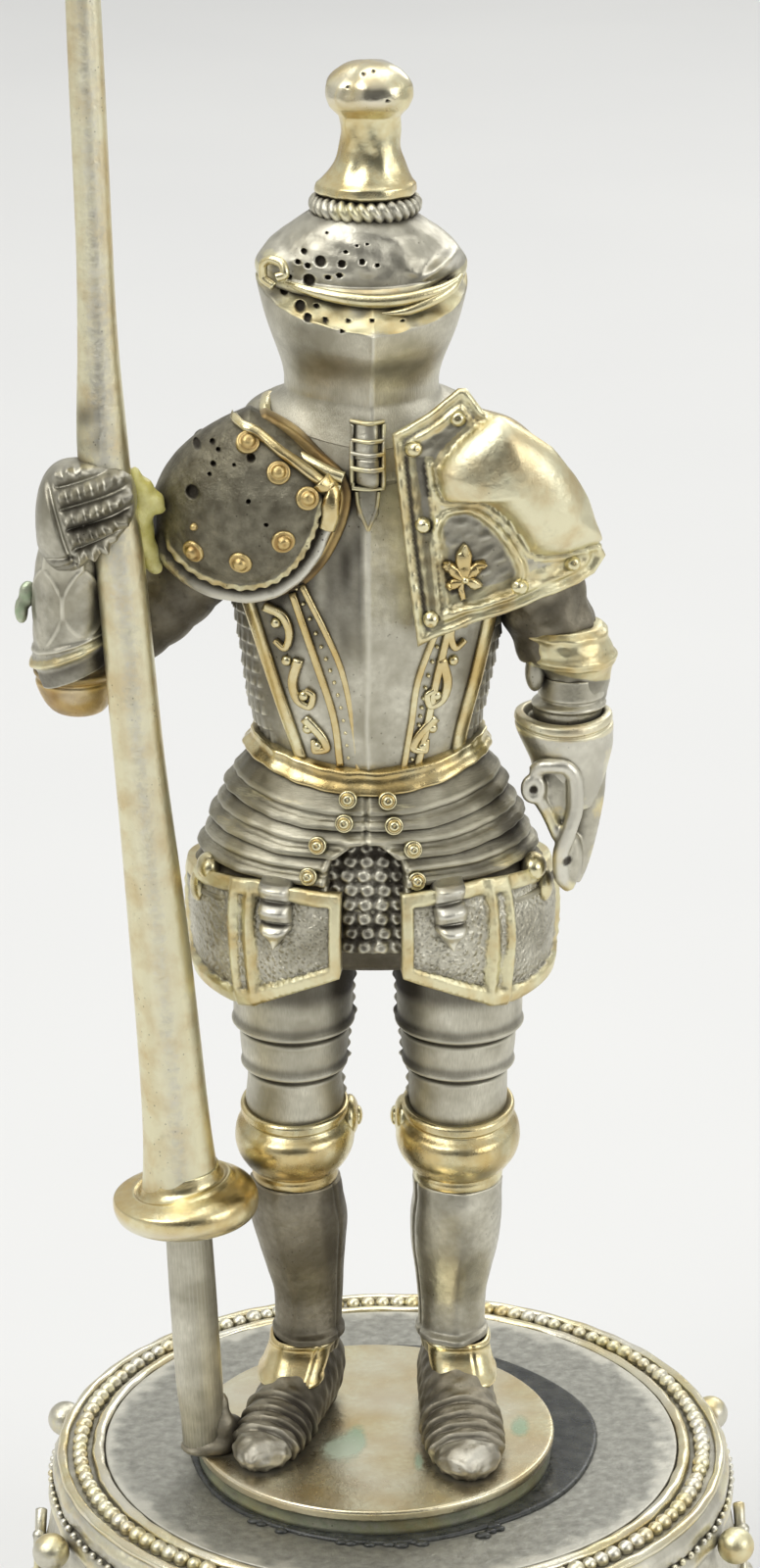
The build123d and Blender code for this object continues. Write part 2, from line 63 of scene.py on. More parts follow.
# ------------------------------------------------------------------ number helpers
def hermite(knots, count):
    """Rows of knots joined smoothly, without overshoot, at count even steps along them."""
    k = np.asarray(knots, float)
    n = len(k)
    step = np.diff(k, axis=0)
    slope = np.zeros_like(k)
    slope[0], slope[-1] = step[0], step[-1]
    product = step[:-1] * step[1:]
    mean = (step[:-1] + step[1:]) / 2
    limit = 2 * np.minimum(np.abs(step[:-1]), np.abs(step[1:]))
    slope[1:-1] = np.where(product > 0, np.sign(mean) * np.minimum(np.abs(mean), limit), 0)
    t = np.linspace(0, n - 1, count)
    i = np.minimum(t.astype(int), n - 2)
    s = (t - i)[:, None]
    a, b = k[i], k[i + 1]
    return (a * (1 + 2 * s) * (1 - s) ** 2 + b * s * s * (3 - 2 * s)
            + slope[i] * s * (1 - s) ** 2 - slope[i + 1] * s * s * (1 - s))


def smoothstep(low, high, value):
    t = np.clip((value - low) / (high - low), 0, 1)
    return t * t * (3 - 2 * t)


def bump(value, centre, width):
    """A bell of height 1 round centre."""
    return np.exp(-((value - centre) / width) ** 2)


def spot(a, b, centre, size):
    """A bell of height 1 round a centre on a plane, as wide and as high as size says."""
    return np.exp(-((a - centre[0]) / size[0]) ** 2 - ((b - centre[1]) / size[1]) ** 2)


def height(points):
    """How high points stand above the footplate."""
    return points[..., 2] - GROUND


def lumps(points, size, seed=SEED):
    """Smooth unevenness in about -1..1 whose features are about size across."""
    rng = np.random.default_rng(seed)
    total = np.zeros(points.shape[:-1])
    for _ in range(9):
        direction = rng.normal(size=3)
        direction *= rng.uniform(0.6, 1.5) * math.pi / (size * np.linalg.norm(direction))
        total += np.sin(points @ direction + rng.uniform(0, 2 * math.pi))
    return total / 3.2


def lumps_flat(x, h, size, seed=SEED):
    """Unevenness over a plate seen from the front."""
    return lumps(np.stack([x, h, 0 * x], -1), size, seed)


def lumps_round(angle, h, radius, size):
    """Unevenness round an upright limb."""
    return lumps(np.stack([radius * np.sin(angle), radius * np.cos(angle), h], -1), size)


# ------------------------------------------------------------------ mesh helpers
def make(name, points, faces, material, replaces=(), slot=None, smooth=True):
    """A finished piece from points in millimetres; it rides on the one body of the frame."""
    mesh = bpy.data.meshes.new(name)
    mesh.from_pydata((np.asarray(points) * MM).tolist(), [], faces)
    mesh.validate()
    mesh.polygons.foreach_set("use_smooth", [smooth] * len(mesh.polygons))
    mesh.materials.append(material)
    piece = bpy.data.objects.new(name, mesh)
    bpy.context.scene.collection.objects.link(piece)
    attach(piece, "root")
    if replaces:
        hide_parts(*([replaces] if isinstance(replaces, str) else replaces))
    return standing_out(piece)


def standing_out(piece):
    """Gives each point how far it stands out of its neighbours, 0.5 on the flat: wear follows it."""
    mesh = piece.data
    count = len(mesh.vertices)
    points, normals = np.empty(count * 3), np.empty(count * 3)
    ends = np.empty(len(mesh.edges) * 2, np.int32)
    mesh.vertices.foreach_get("co", points)
    mesh.vertex_normals.foreach_get("vector", normals)
    mesh.edges.foreach_get("vertices", ends)
    points, normals = points.reshape(-1, 3), normals.reshape(-1, 3)
    a, b = ends.reshape(-1, 2).T
    run = points[b] - points[a]
    run /= np.maximum(np.linalg.norm(run, axis=1, keepdims=True), 1e-9)
    near = np.maximum(np.bincount(ends, minlength=count), 1)
    toward = [np.bincount(a, run[:, k], count) - np.bincount(b, run[:, k], count) for k in range(3)]
    toward = np.stack(toward, 1)
    level = np.arccos(np.clip((toward * normals).sum(1) / near, -1, 1)) / math.pi
    level = (level + np.bincount(a, level[b], count) + np.bincount(b, level[a], count)) / (near + 1)
    return paint(piece, "standing_out", level)


def grid_faces(rows, cols, wrap, start=0):
    """Quads of a rows x cols grid of points; wrap joins the last column to the first."""
    faces = []
    for r in range(rows - 1):
        for c in range(cols if wrap else cols - 1):
            d = (c + 1) % cols
            a, b = start + r * cols, start + (r + 1) * cols
            faces.append((a + c, a + d, b + d, b + c))
    return faces


def capped(grid):
    """A closed tube from rings of points, with a fan at each end."""
    rows, cols, _ = grid.shape
    points = np.vstack([grid.reshape(-1, 3), grid[0].mean(0), grid[-1].mean(0)])
    faces = grid_faces(rows, cols, True)
    foot, head = rows * cols, rows * cols + 1
    last = (rows - 1) * cols
    faces += [(foot, (c + 1) % cols, c) for c in range(cols)]
    faces += [(head, last + c, last + (c + 1) % cols) for c in range(cols)]
    return points, faces


def merged(shapes):
    """Several (points, faces) shapes as one."""
    points, faces, start = [], [], 0
    for shape_points, shape_faces in shapes:
        points.append(np.asarray(shape_points))
        faces += [tuple(start + i for i in face) for face in shape_faces]
        start += len(shape_points)
    return np.vstack(points), faces


def column(sections, rows=90, cols=128, relief=None, power=2.0):
    """Rings of an upright body. Each section is (h, x, y, half width, half depth).

    Angle 0 faces the front and grows towards the figure's left. relief(angle, h) is how far
    the surface stands out.
    """
    s = hermite(sections, rows)
    angle = np.linspace(-math.pi, math.pi, cols, endpoint=False)
    a, h = np.meshgrid(angle, s[:, 0])
    across = np.sign(np.sin(a)) * np.abs(np.sin(a)) ** (2 / power)
    along = np.sign(np.cos(a)) * np.abs(np.cos(a)) ** (2 / power)
    wide, deep = s[:, 3, None], s[:, 4, None]
    out = np.stack([across / wide, -along / deep], -1)
    out /= np.linalg.norm(out, axis=-1, keepdims=True)
    lift = relief(a, h) if relief else 0 * a
    x = s[:, 1, None] + wide * across + out[..., 0] * lift
    y = s[:, 2, None] - deep * along + out[..., 1] * lift
    return np.stack([x, y, GROUND + h], -1)


def tube(knots, rows=60, cols=32, relief=None, flat=None):
    """Rings round a path. Each knot is (x, y, h, half width, half depth); flat is the side axis."""
    s = hermite(knots, rows)
    centre = s[:, :3] + [0, 0, GROUND]
    ahead = np.gradient(centre, axis=0)
    ahead /= np.linalg.norm(ahead, axis=1, keepdims=True)
    side = np.cross(np.cross(ahead, flat if flat is not None else (1.0, 0, 0)), ahead)
    side /= np.linalg.norm(side, axis=1, keepdims=True)
    front = np.cross(ahead, side)
    angle = np.linspace(0, 2 * math.pi, cols, endpoint=False)
    a, row = np.meshgrid(angle, np.linspace(0, 1, rows))
    lift = relief(a, row) if relief else 0 * a
    wide = (s[:, 3, None] + lift)[..., None]
    deep = (s[:, 4, None] + lift)[..., None]
    return (centre[:, None] + wide * np.cos(a)[..., None] * side[:, None]
            + deep * np.sin(a)[..., None] * front[:, None])


def wire(knots, rows, cols, relief=None, flat=None):
    """A round tube; each knot is (x, y, h, radius)."""
    return capped(tube([(x, y, h, r, r) for x, y, h, r in knots], rows, cols, relief, flat))


def turned(profile, x, y, rows=80, cols=128, relief=None):
    """A turned shape from (height in the part, radius) points round an upright axis."""
    s = hermite(profile, rows)
    angle = np.linspace(0, 2 * math.pi, cols, endpoint=False)
    a, z = np.meshgrid(angle, s[:, 0])
    r = s[:, 1, None] + (relief(a, z) if relief else 0)
    return np.stack([x + r * np.cos(a), y + r * np.sin(a), z], -1)


def ball(centre, radii, rows=14, cols=20):
    """A small round head as (points, faces)."""
    v = np.linspace(0.02, math.pi - 0.02, rows)
    u = np.linspace(0, 2 * math.pi, cols, endpoint=False)
    uu, vv = np.meshgrid(u, v)
    unit = np.stack([np.cos(uu) * np.sin(vv), np.sin(uu) * np.sin(vv), -np.cos(vv)], -1)
    return capped(unit * np.asarray(radii) + np.asarray(centre))


def blobs(drops):
    """Round lumps, each ((x, y, h), radii), as one shape."""
    return merged([ball((x, y, GROUND + h), radii, 16, 22) for (x, y, h), radii in drops])


def torus(centre, major, minor, rows=160, cols=16, relief=None):
    """A ring lying flat, as (points, faces); relief(round, across) adds to the wire's radius."""
    u = np.linspace(0, 2 * math.pi, rows, endpoint=False)
    v = np.linspace(0, 2 * math.pi, cols, endpoint=False)
    vv, uu = np.meshgrid(v, u)
    r = minor + (relief(uu, vv) if relief else 0)
    flat = major + r * np.cos(vv)
    grid = np.stack([flat * np.cos(uu), flat * np.sin(uu), r * np.sin(vv)], -1) + np.asarray(centre)
    faces = []
    for i in range(rows):
        for j in range(cols):
            k, m = (i + 1) % rows, (j + 1) % cols
            faces.append((i * cols + j, k * cols + j, k * cols + m, i * cols + m))
    return grid.reshape(-1, 3), faces


# ------------------------------------------------------------------ chasing laid on a surface
class Surface:
    """The outside of finished bodies, looked up from the front."""

    def __init__(self, *shapes):
        points, faces = merged(shapes)
        self.tree = BVHTree.FromPolygons([Vector(p) for p in points], faces)

    def at(self, x, h):
        """The front point and its outward normal at width x and height h."""
        hit, normal, _, _ = self.tree.ray_cast(Vector((x, -60, GROUND + h)), Vector((0, 1, 0)))
        if hit is None:
            near, normal, _, _ = self.tree.find_nearest(Vector((x, -3, GROUND + h)))
            hit = near
        if normal.y > 0:
            normal = -normal
        return np.array(hit), np.array(normal)


class Around(Surface):
    """The outside of a body looked up from all round an upright axis, by arc length and height."""

    def __init__(self, shape, x, y, radius):
        super().__init__(shape)
        self.axis, self.radius = (x, y), radius

    def at(self, arc, h):
        turn = arc / self.radius
        out = Vector((math.sin(turn), -math.cos(turn), 0))
        start = Vector((*self.axis, GROUND + h)) + 60 * out
        hit, normal, _, _ = self.tree.ray_cast(start, -out)
        if hit is None:
            hit, normal, _, _ = self.tree.find_nearest(Vector((*self.axis, GROUND + h)) + 5 * out)
        if normal.dot(out) < 0:
            normal = -normal
        return np.array(hit), np.array(normal)


class Sheet:
    """A smooth surface given as y = shape(x, h), seen from the front."""

    def __init__(self, shape):
        self.shape = shape

    def at(self, x, h):
        step = 0.02
        y = float(self.shape(x, h))
        slope_x = (float(self.shape(x + step, h)) - y) / step
        slope_h = (float(self.shape(x, h + step)) - y) / step
        normal = np.array([slope_x, -1.0, slope_h])
        return np.array([x, y, GROUND + h]), normal / np.linalg.norm(normal)


def strip(surface, path, half_width, rise, sink=0.15, steps=40, profile=None, taper=None, swell=None):
    """A raised band along an (x, h) path, following the surface across its width too."""
    p = hermite(path, steps)
    ahead = np.gradient(p, axis=0)
    ahead /= np.linalg.norm(ahead, axis=1, keepdims=True)
    side = np.stack([-ahead[:, 1], ahead[:, 0]], 1)
    profile = profile or [(-1, -1), (-1, 0.45), (-0.82, 0.85), (-0.5, 1), (0, 1.04), (0.5, 1),
                          (0.82, 0.85), (1, 0.45), (1, -1)]
    rings = []
    for i in range(steps):
        wide = half_width * (taper(i / (steps - 1)) if taper else 1)
        high = rise * (swell(i / (steps - 1)) if swell else 1)
        ring = []
        for across, up in profile:
            q = p[i] + side[i] * across * wide
            point, normal = surface.at(*q)
            ring.append(point + normal * (high * up if up > 0 else sink * up))
        rings.append(ring)
    return capped(np.array(rings))


def stud(surface, x, h, radius, rise, collar=0.0, dimple=0.0):
    """A round rivet head set on the surface, with an optional washer and a worn hollow."""
    point, normal = surface.at(x, h)
    up = Vector(normal)
    side = up.orthogonal().normalized()
    other = up.cross(side)
    profile = [(0.0, 1.0 - dimple), (0.35, 0.97), (0.62, 0.82), (0.85, 0.5), (1.0, 0.0), (1.0, -0.6)]
    if collar:
        profile = profile[:4] + [(0.95, 0.25), (1.15, 0.3), (1.3, 0.28), (1.42, 0.1), (1.42, -0.6)]
    angle = np.linspace(0, 2 * math.pi, 28, endpoint=False)
    rings = []
    for r, z in profile[::-1]:
        r = max(r, 0.04)
        ring = (point + radius * r * (np.cos(angle)[:, None] * np.array(side)
                                      + np.sin(angle)[:, None] * np.array(other))
                + rise * z * np.array(normal))
        rings.append(ring)
    return capped(np.array(rings))


def inside(polygon, points):
    """Which 2-D points lie inside a polygon."""
    result = np.zeros(len(points), bool)
    x, y = points[:, 0], points[:, 1]
    for (x0, y0), (x1, y1) in zip(polygon, np.roll(polygon, -1, axis=0)):
        crosses = (y0 > y) != (y1 > y)
        edge = x0 + (y - y0) * (x1 - x0) / (y1 - y0 if y1 != y0 else 1e-9)
        result ^= crosses & (x < edge)
    return result


def edge_distance(polygon, points):
    """How far 2-D points are from a polygon's outline."""
    best = np.full(len(points), 1e9)
    for a, b in zip(polygon, np.roll(polygon, -1, axis=0)):
        run = b - a
        t = np.clip(((points - a) @ run) / max(run @ run, 1e-12), 0, 1)
        best = np.minimum(best, np.linalg.norm(points - a - t[:, None] * run, axis=1))
    return best


def dense(outline, spacing):
    """An outline's corners with even points between them."""
    outline = np.asarray(outline, float)
    points = []
    for a, b in zip(outline, np.roll(outline, -1, axis=0)):
        count = max(1, round(np.linalg.norm(b - a) / spacing))
        points += [a + (b - a) * i / count for i in range(count)]
    return np.array(points)


def patch(surface, outline, relief, spacing=0.16, sink=0.3):
    """A plate of any (x, h) outline laid on a surface.

    relief(d, x, h) is how proud the plate is at a point d inside its outline. Returns points,
    faces and each point's (d, x, h), for painting.
    """
    border = dense(outline, spacing)
    low, high = border.min(0), border.max(0)
    grid = np.stack(np.meshgrid(np.arange(low[0], high[0], spacing), np.arange(low[1], high[1], spacing)),
                    -1)
    grid = grid.reshape(-1, 2)
    grid[:, 0] += (np.round((grid[:, 1] - low[1]) / spacing) % 2) * spacing / 2
    grid = grid[inside(border, grid)]
    grid = grid[edge_distance(border, grid) > spacing * 0.6]
    count = len(border)
    flat = np.vstack([border, grid])
    ring = [(i, (i + 1) % count) for i in range(count)]
    found = delaunay_2d_cdt([Vector(p) for p in flat], ring, [], 1, 1e-6)
    flat = np.array([tuple(p) for p in found[0]])
    faces = [tuple(f) for f in found[2]]
    d = edge_distance(border, flat)
    hits = [surface.at(*p) for p in flat]
    foot, normal = np.array([q[0] for q in hits]), np.array([q[1] for q in hits])
    top = foot + normal * relief(d, flat[:, 0], flat[:, 1])[:, None]
    edges = {}
    for face in faces:
        for a, b in zip(face, face[1:] + face[:1]):
            edges[(a, b)] = edges.get((a, b), 0) + 1
    rim = [e for e in edges if (e[1], e[0]) not in edges]
    under = {v: len(flat) + i for i, v in enumerate(sorted({v for e in rim for v in e}))}
    keys = sorted(under, key=under.get)
    low_points = foot[keys] - normal[keys] * sink
    faces += [(b, a, under[a], under[b]) for a, b in rim]
    points = np.vstack([top, low_points])
    facts = np.vstack([np.stack([d, flat[:, 0], flat[:, 1]], 1), np.stack([d[keys], *flat[keys].T], 1)])
    return points, faces, facts


def around(polygon, count):
    """Even directions' reach from the middle of a star-shaped (x, h) outline: a smooth loop."""
    polygon = np.asarray(polygon, float)
    loop = hermite(np.vstack([polygon, polygon[:1]]), 400)[:-1]
    middle = (loop.min(0) + loop.max(0)) / 2
    turn = np.arctan2(loop[:, 1] - middle[1], loop[:, 0] - middle[0])
    order = np.argsort(turn)
    reach = np.linalg.norm(loop - middle, axis=1)
    angle = np.linspace(-math.pi, math.pi, count, endpoint=False)
    reach = np.interp(angle, turn[order], reach[order], period=2 * math.pi)
    return middle, angle, reach


def shell(outline, rim_y, front, back, relief=None, rings=90, cols=160, squareness=2.0):
    """A dome with an (x, h) outline: its rim stands at rim_y and it bulges front and back.

    relief(x, h, r) is how proud the front is; r runs from 0 in the middle to 1 at the rim.
    """
    middle, angle, reach = around(outline, cols)
    t = np.linspace(0.02, math.pi - 0.02, rings)
    r = np.sin(t)
    depth = np.where(np.cos(t) > 0, front, back) * np.cos(t)
    full = np.abs(np.where(depth > 0, front, back))
    depth = np.sign(depth) * np.abs(depth) ** (2 / squareness) * full ** (1 - 2 / squareness)
    x = middle[0] + r[:, None] * reach * np.cos(angle)
    h = middle[1] + r[:, None] * reach * np.sin(angle)
    y = rim_y - depth[:, None] + 0 * x
    if relief:
        ahead = (np.cos(t) > -0.1)[:, None] * (1.0 + 0 * x)
        lift = relief(x, h, r[:, None] + 0 * x) * ahead
        slope = (r ** 3)[:, None]
        x = x + lift * slope * np.cos(angle)
        h = h + lift * slope * np.sin(angle)
        y = y - lift * np.sqrt(np.maximum(0, 1 - slope ** 2)) * np.sign(np.cos(t))[:, None]
    return np.stack([x, y, GROUND + h], -1)


# ------------------------------------------------------------------ materials
def srgb(r, g, b):
    """A linear colour from 0..255 display values."""
    return tuple(((c / 255 + 0.055) / 1.055) ** 2.4 if c > 10 else c / 3295 for c in (r, g, b)) + (1.0,)


class Nodes:
    """Short calls for wiring one material's nodes."""

    def __init__(self, name):
        self.material = bpy.data.materials.new(name)
        self.material.use_nodes = True
        self.tree = self.material.node_tree
        self.shader = self.tree.nodes["Principled BSDF"]

    def new(self, kind, **settings):
        node = self.tree.nodes.new("ShaderNode" + kind)
        for key, value in settings.items():
            setattr(node, key, value)
        return node

    def feed(self, socket, value):
        if isinstance(value, bpy.types.NodeSocket):
            self.tree.links.new(value, socket)
        else:
            socket.default_value = value

    def math(self, operation, a, b=0.0, clamp=False):
        node = self.new("Math", operation=operation, use_clamp=clamp)
        self.feed(node.inputs[0], a)
        self.feed(node.inputs[1], b)
        return node.outputs[0]

    def mix(self, factor, a, b):
        node = self.new("Mix", data_type="RGBA")
        self.feed(node.inputs["Factor"], factor)
        self.feed(node.inputs["A"], a)
        self.feed(node.inputs["B"], b)
        return node.outputs["Result"]

    def ramp(self, value, low, high, start=0.0, end=1.0):
        node = self.new("MapRange", clamp=True)
        for socket, number in zip(node.inputs[:5], (value, low, high, start, end)):
            self.feed(socket, number)
        return node.outputs[0]

    def place(self, stretch=(1, 1, 1)):
        """Object coordinates in millimetres, squeezed along each axis by stretch."""
        where = self.new("TexCoord").outputs["Object"]
        scaled = self.new("VectorMath", operation="MULTIPLY")
        self.feed(scaled.inputs[0], where)
        scaled.inputs[1].default_value = tuple(s / MM for s in stretch)
        return scaled.outputs[0]

    def noise(self, size, detail=3.0, stretch=(1, 1, 1), rough=0.55):
        """Noise whose features are about size millimetres."""
        node = self.new("TexNoise")
        self.feed(node.inputs["Vector"], self.place(stretch))
        node.inputs["Scale"].default_value = 1 / size
        node.inputs["Detail"].default_value = detail
        node.inputs["Roughness"].default_value = rough
        return node.outputs["Fac"]

    def specks(self, size, radius):
        """1 inside scattered round specks, 0 outside."""
        node = self.new("TexVoronoi", feature="F1")
        self.feed(node.inputs["Vector"], self.place())
        node.inputs["Scale"].default_value = 1 / size
        few = self.ramp(self.noise(2.7, 1), 0.5, 0.62)
        near = self.ramp(node.outputs["Distance"], radius, radius * 0.6)
        return self.math("MULTIPLY", near, few)

    def attribute(self, name):
        return self.new("Attribute", attribute_name=name).outputs["Fac"]

    def cavity(self, reach):
        """0 in the open, rising to 1 deep in corners closer than reach millimetres."""
        node = self.new("AmbientOcclusion", samples=6)
        node.inputs["Distance"].default_value = reach * MM
        return self.math("SUBTRACT", 1.0, node.outputs["AO"])


GOLD = srgb(236, 229, 190)
AMBER = srgb(210, 184, 124)
SILVER = srgb(222, 218, 201)
GREY = srgb(168, 163, 145)
# Dark tone for patina and for painted shade
PATINA_AND_SHADE = srgb(58, 52, 42)
VERDIGRIS = srgb(150, 182, 140)
# Pale tone for polish and for painted highlights
BRIGHT = srgb(238, 235, 222)


def metal(name, light, shade, rough=0.3, patina=0.5, brushed=(1, 1, 1), grain=0.5, pitted=0.0, patches=2.2,
          worn=1.0, pebbled=0.0):
    """Cast precious metal: uneven tone, dark in the recesses, bright on rubbed edges.

    Where a piece has the point attributes gilt, green, bright and dark, they gild it, turn it green
    with verdigris, lighten it or darken it: bright holds polish and painted highlights, dark holds
    blackening, grime and painted shade. Wear follows standing_out, which every piece has.
    """
    n = Nodes(name)
    broad = n.ramp(n.noise(patches, 3), 0.36, 0.66)
    fine = n.noise(0.28, 4, brushed)
    base = n.mix(broad, light, shade)
    base = n.mix(n.ramp(fine, 0.35, 0.75, 0.0, 0.5), base, shade)
    edge = n.ramp(n.attribute("standing_out"), 0.505, 0.56)
    edge = n.math("MULTIPLY", edge, worn)
    base = n.mix(edge, base, light)
    gold = n.mix(n.ramp(n.noise(1.3, 3), 0.42, 0.68, 0.0, 0.75), GOLD, AMBER)
    gilding = n.ramp(n.math("ADD", n.attribute("gilt"), n.math("MULTIPLY", fine, 0.5)), 0.62, 0.86)
    base = n.mix(gilding, base, gold)
    green = n.ramp(n.math("ADD", n.attribute("green"), n.math("MULTIPLY", fine, 0.4)), 0.5, 0.9)
    base = n.mix(green, base, VERDIGRIS)
    # Pale polish, and on many pieces a painted highlight
    base = n.mix(n.attribute("bright"), base, BRIGHT)
    recess = n.ramp(n.cavity(0.75), 0.16, 0.72)
    stained = n.ramp(n.noise(0.9, 5, (1, 1, 1), 0.65), 0.60, 0.80, 0.0, 0.5)
    # Patina in the recesses, stained patches, pits and the dark attribute, which holds grime and painted
    # shade
    dirt_and_shade = n.math("MULTIPLY", recess, 0.62 + 0.4 * patina)
    dirt_and_shade = n.math("ADD", dirt_and_shade, n.math("MULTIPLY", stained, patina))
    dirt_and_shade = n.math("ADD", dirt_and_shade, n.attribute("dark"))
    dirt_and_shade = n.math("ADD", dirt_and_shade, n.math("MULTIPLY", n.specks(0.3, 0.16), pitted))
    dirt_and_shade = n.math("SUBTRACT", dirt_and_shade, n.math("MULTIPLY", edge, 0.5), clamp=True)
    n.feed(n.shader.inputs["Base Color"], n.mix(dirt_and_shade, base, PATINA_AND_SHADE))
    n.feed(n.shader.inputs["Metallic"], n.ramp(n.math("ADD", dirt_and_shade, green), 0.3, 1.0, 1.0, 0.45))
    wear = n.math("ADD", n.math("MULTIPLY", dirt_and_shade, 0.28), n.math("MULTIPLY", fine, 0.22))
    n.feed(n.shader.inputs["Roughness"], n.math("ADD", wear, rough - 0.1, clamp=True))
    bumps = n.new("Bump")
    bumps.inputs["Strength"].default_value = grain
    bumps.inputs["Distance"].default_value = 0.05 * MM
    skin = n.math("ADD", n.noise(0.35, 6, brushed, 0.7), n.noise(1.4, 2))
    pebbles = n.new("TexVoronoi", feature="SMOOTH_F1")
    n.feed(pebbles.inputs["Vector"], n.place())
    pebbles.inputs["Scale"].default_value = 1 / 0.17
    bare = n.math("SUBTRACT", 1.0, gilding)
    pebbles = n.math("MULTIPLY", n.math("MULTIPLY", pebbles.outputs["Distance"], pebbled), bare)
    skin = n.math("SUBTRACT", skin, pebbles)
    n.feed(bumps.inputs["Height"], skin)
    n.feed(n.shader.inputs["Normal"], bumps.outputs["Normal"])
    return n.material


def resin(name, clear, cloudy, rough, bump_size=0.6):
    """Set glue: glossy, cloudy in patches, with a soft uneven skin."""
    n = Nodes(name)
    n.feed(n.shader.inputs["Base Color"], n.mix(n.ramp(n.noise(0.8, 4), 0.38, 0.7), clear, cloudy))
    n.feed(n.shader.inputs["Roughness"], n.ramp(n.noise(0.5, 4), 0.3, 0.7, rough, rough + 0.3))
    n.shader.inputs["Subsurface Weight"].default_value = 0.2
    n.shader.inputs["Subsurface Radius"].default_value = (0.0004, 0.0003, 0.0001)
    bumps = n.new("Bump")
    bumps.inputs["Strength"].default_value = 0.6
    bumps.inputs["Distance"].default_value = 0.08 * MM
    n.feed(bumps.inputs["Height"], n.noise(bump_size, 4))
    n.feed(n.shader.inputs["Normal"], bumps.outputs["Normal"])
    return n.material


GILT = metal("gilt_cast", GOLD, AMBER, rough=0.22, patina=0.12, grain=0.35)
SILVERED = metal("silver_cast", SILVER, GREY, rough=0.32, patina=0.4, grain=0.6, pitted=0.4)
BRUSHED = metal("silver_brushed", SILVER, GREY, rough=0.36, patina=0.4, brushed=(6, 6, 0.7))
BRUSHED_SIDE = metal("silver_lames", srgb(196, 191, 171), srgb(138, 133, 115), rough=0.36, patina=0.55,
                     brushed=(0.7, 0.7, 6))
SMOKED = metal("silver_smoked", srgb(150, 145, 126), srgb(108, 103, 88), rough=0.38, patina=0.7, grain=1.5,
               pitted=0.6, patches=0.7, worn=0.0)
STIPPLED = metal("silver_stippled", SILVER, GREY, rough=0.34, patina=0.4, grain=0.9, pebbled=3.0)
RUDDY = metal("gilt_worn", srgb(216, 192, 134), srgb(174, 142, 90), rough=0.3, patina=0.35, grain=0.8)
OXIDISED = metal("silver_aged", srgb(166, 159, 141), srgb(126, 119, 102), rough=0.4, patina=0.5, grain=1.0,
                 pitted=0.5)
SANDY = metal("grey_sanded", srgb(178, 177, 168), srgb(150, 149, 141), rough=0.5, patina=0.05, grain=1.0,
              patches=0.5)
# Dark glue, which round the footplate's edge also stands in for the plate's shadow
GLUE_AND_SHADOW = resin("glue_and_shadow_dark", srgb(40, 42, 40), srgb(72, 73, 68), 0.15)
YELLOW = resin("glue_yellow", srgb(226, 220, 150), srgb(196, 186, 96), 0.2)


def paint(piece, name, values):
    """A point attribute that the metals read, 0..1 at each point or one level for all of them."""
    layer = piece.data.attributes.new(name, "FLOAT", "POINT")
    values = np.clip(np.asarray(values, np.float32).ravel(), 0, 1)
    layer.data.foreach_set("value", values * np.ones(len(layer.data), np.float32))
    return piece


# ------------------------------------------------------------------ pedestal
SHELF_H = TOP_PLATE_H - 0.3
SHOULDER = [(SHELF_H, 14.35), (15.62, 14.68), (15.2, 14.93), (14.75, 14.9), (14.62, 14.74), (14.45, 14.95),
            (14.05, 15.12), (13.65, 14.98), (13.4, 14.86)]
FLARE = [(12.2, 15.15), (10.4, 15.48), (8.0, 15.75), (5.2, 16.1), (3.2, 16.55), (2.2, 17.15), (1.9, 17.35),
         (0.9, 17.42), (0.0, 17.3)]


def pedestal():
    def hammered(angle, z):
        return 0.05 * lumps(np.stack([15 * angle, z, 0 * z], -1), 1.1)

    profile = [(SHELF_H, 12.6)] + SHOULDER + FLARE + [(0.0, 15.9)]
    points, faces = capped(turned(profile, 0, 0, rows=220, cols=360, relief=hammered))
    wall = make("pedestal_wall_cast", points, faces, SILVERED, "pedestal_wall")
    radius = np.hypot(points[:, 0], points[:, 1])
    gilt = 0.75 * bump(points[:, 2], 14.05, 0.35) + 0.6 * bump(points[:, 2], 15.4, 0.3)
    paint(wall, "gilt", gilt * (radius > 13) * (0.75 + 0.5 * lumps(points, 2.5)))
    paint(wall, "bright", 0.35 * smoothstep(12.8, 13.8, points[:, 2]) * (radius > 13))

    base = turned([(0.0, 0.1), (0.0, 8.0), (0.0, 15.9), (1.0, 15.9), (1.3, 15.0), (1.3, 0.1)], 0, 0,
                  rows=60)
    make("pedestal_underside", *capped(base), SILVERED, "pedestal_base_plate")

    disc = [(TOP_PLATE_H - 0.9, 0.1), (TOP_PLATE_H - 0.9, 12.6), (TOP_PLATE_H - 0.06, 12.6),
            (TOP_PLATE_H, 12.5), (TOP_PLATE_H, 12.0), (TOP_PLATE_H, 9.0), (TOP_PLATE_H, 4.0),
            (TOP_PLATE_H, 0.1)]
    points, faces = capped(turned(disc, 0, 0, rows=200, cols=300))
    plate = make("top_plate_sanded", points, faces, SANDY, "top_plate")
    radius = np.hypot(points[:, 0], points[:, 1])
    paint(plate, "bright", 0.55 * smoothstep(11.7, 12.5, radius + 0.25 * lumps(points, 0.5)))


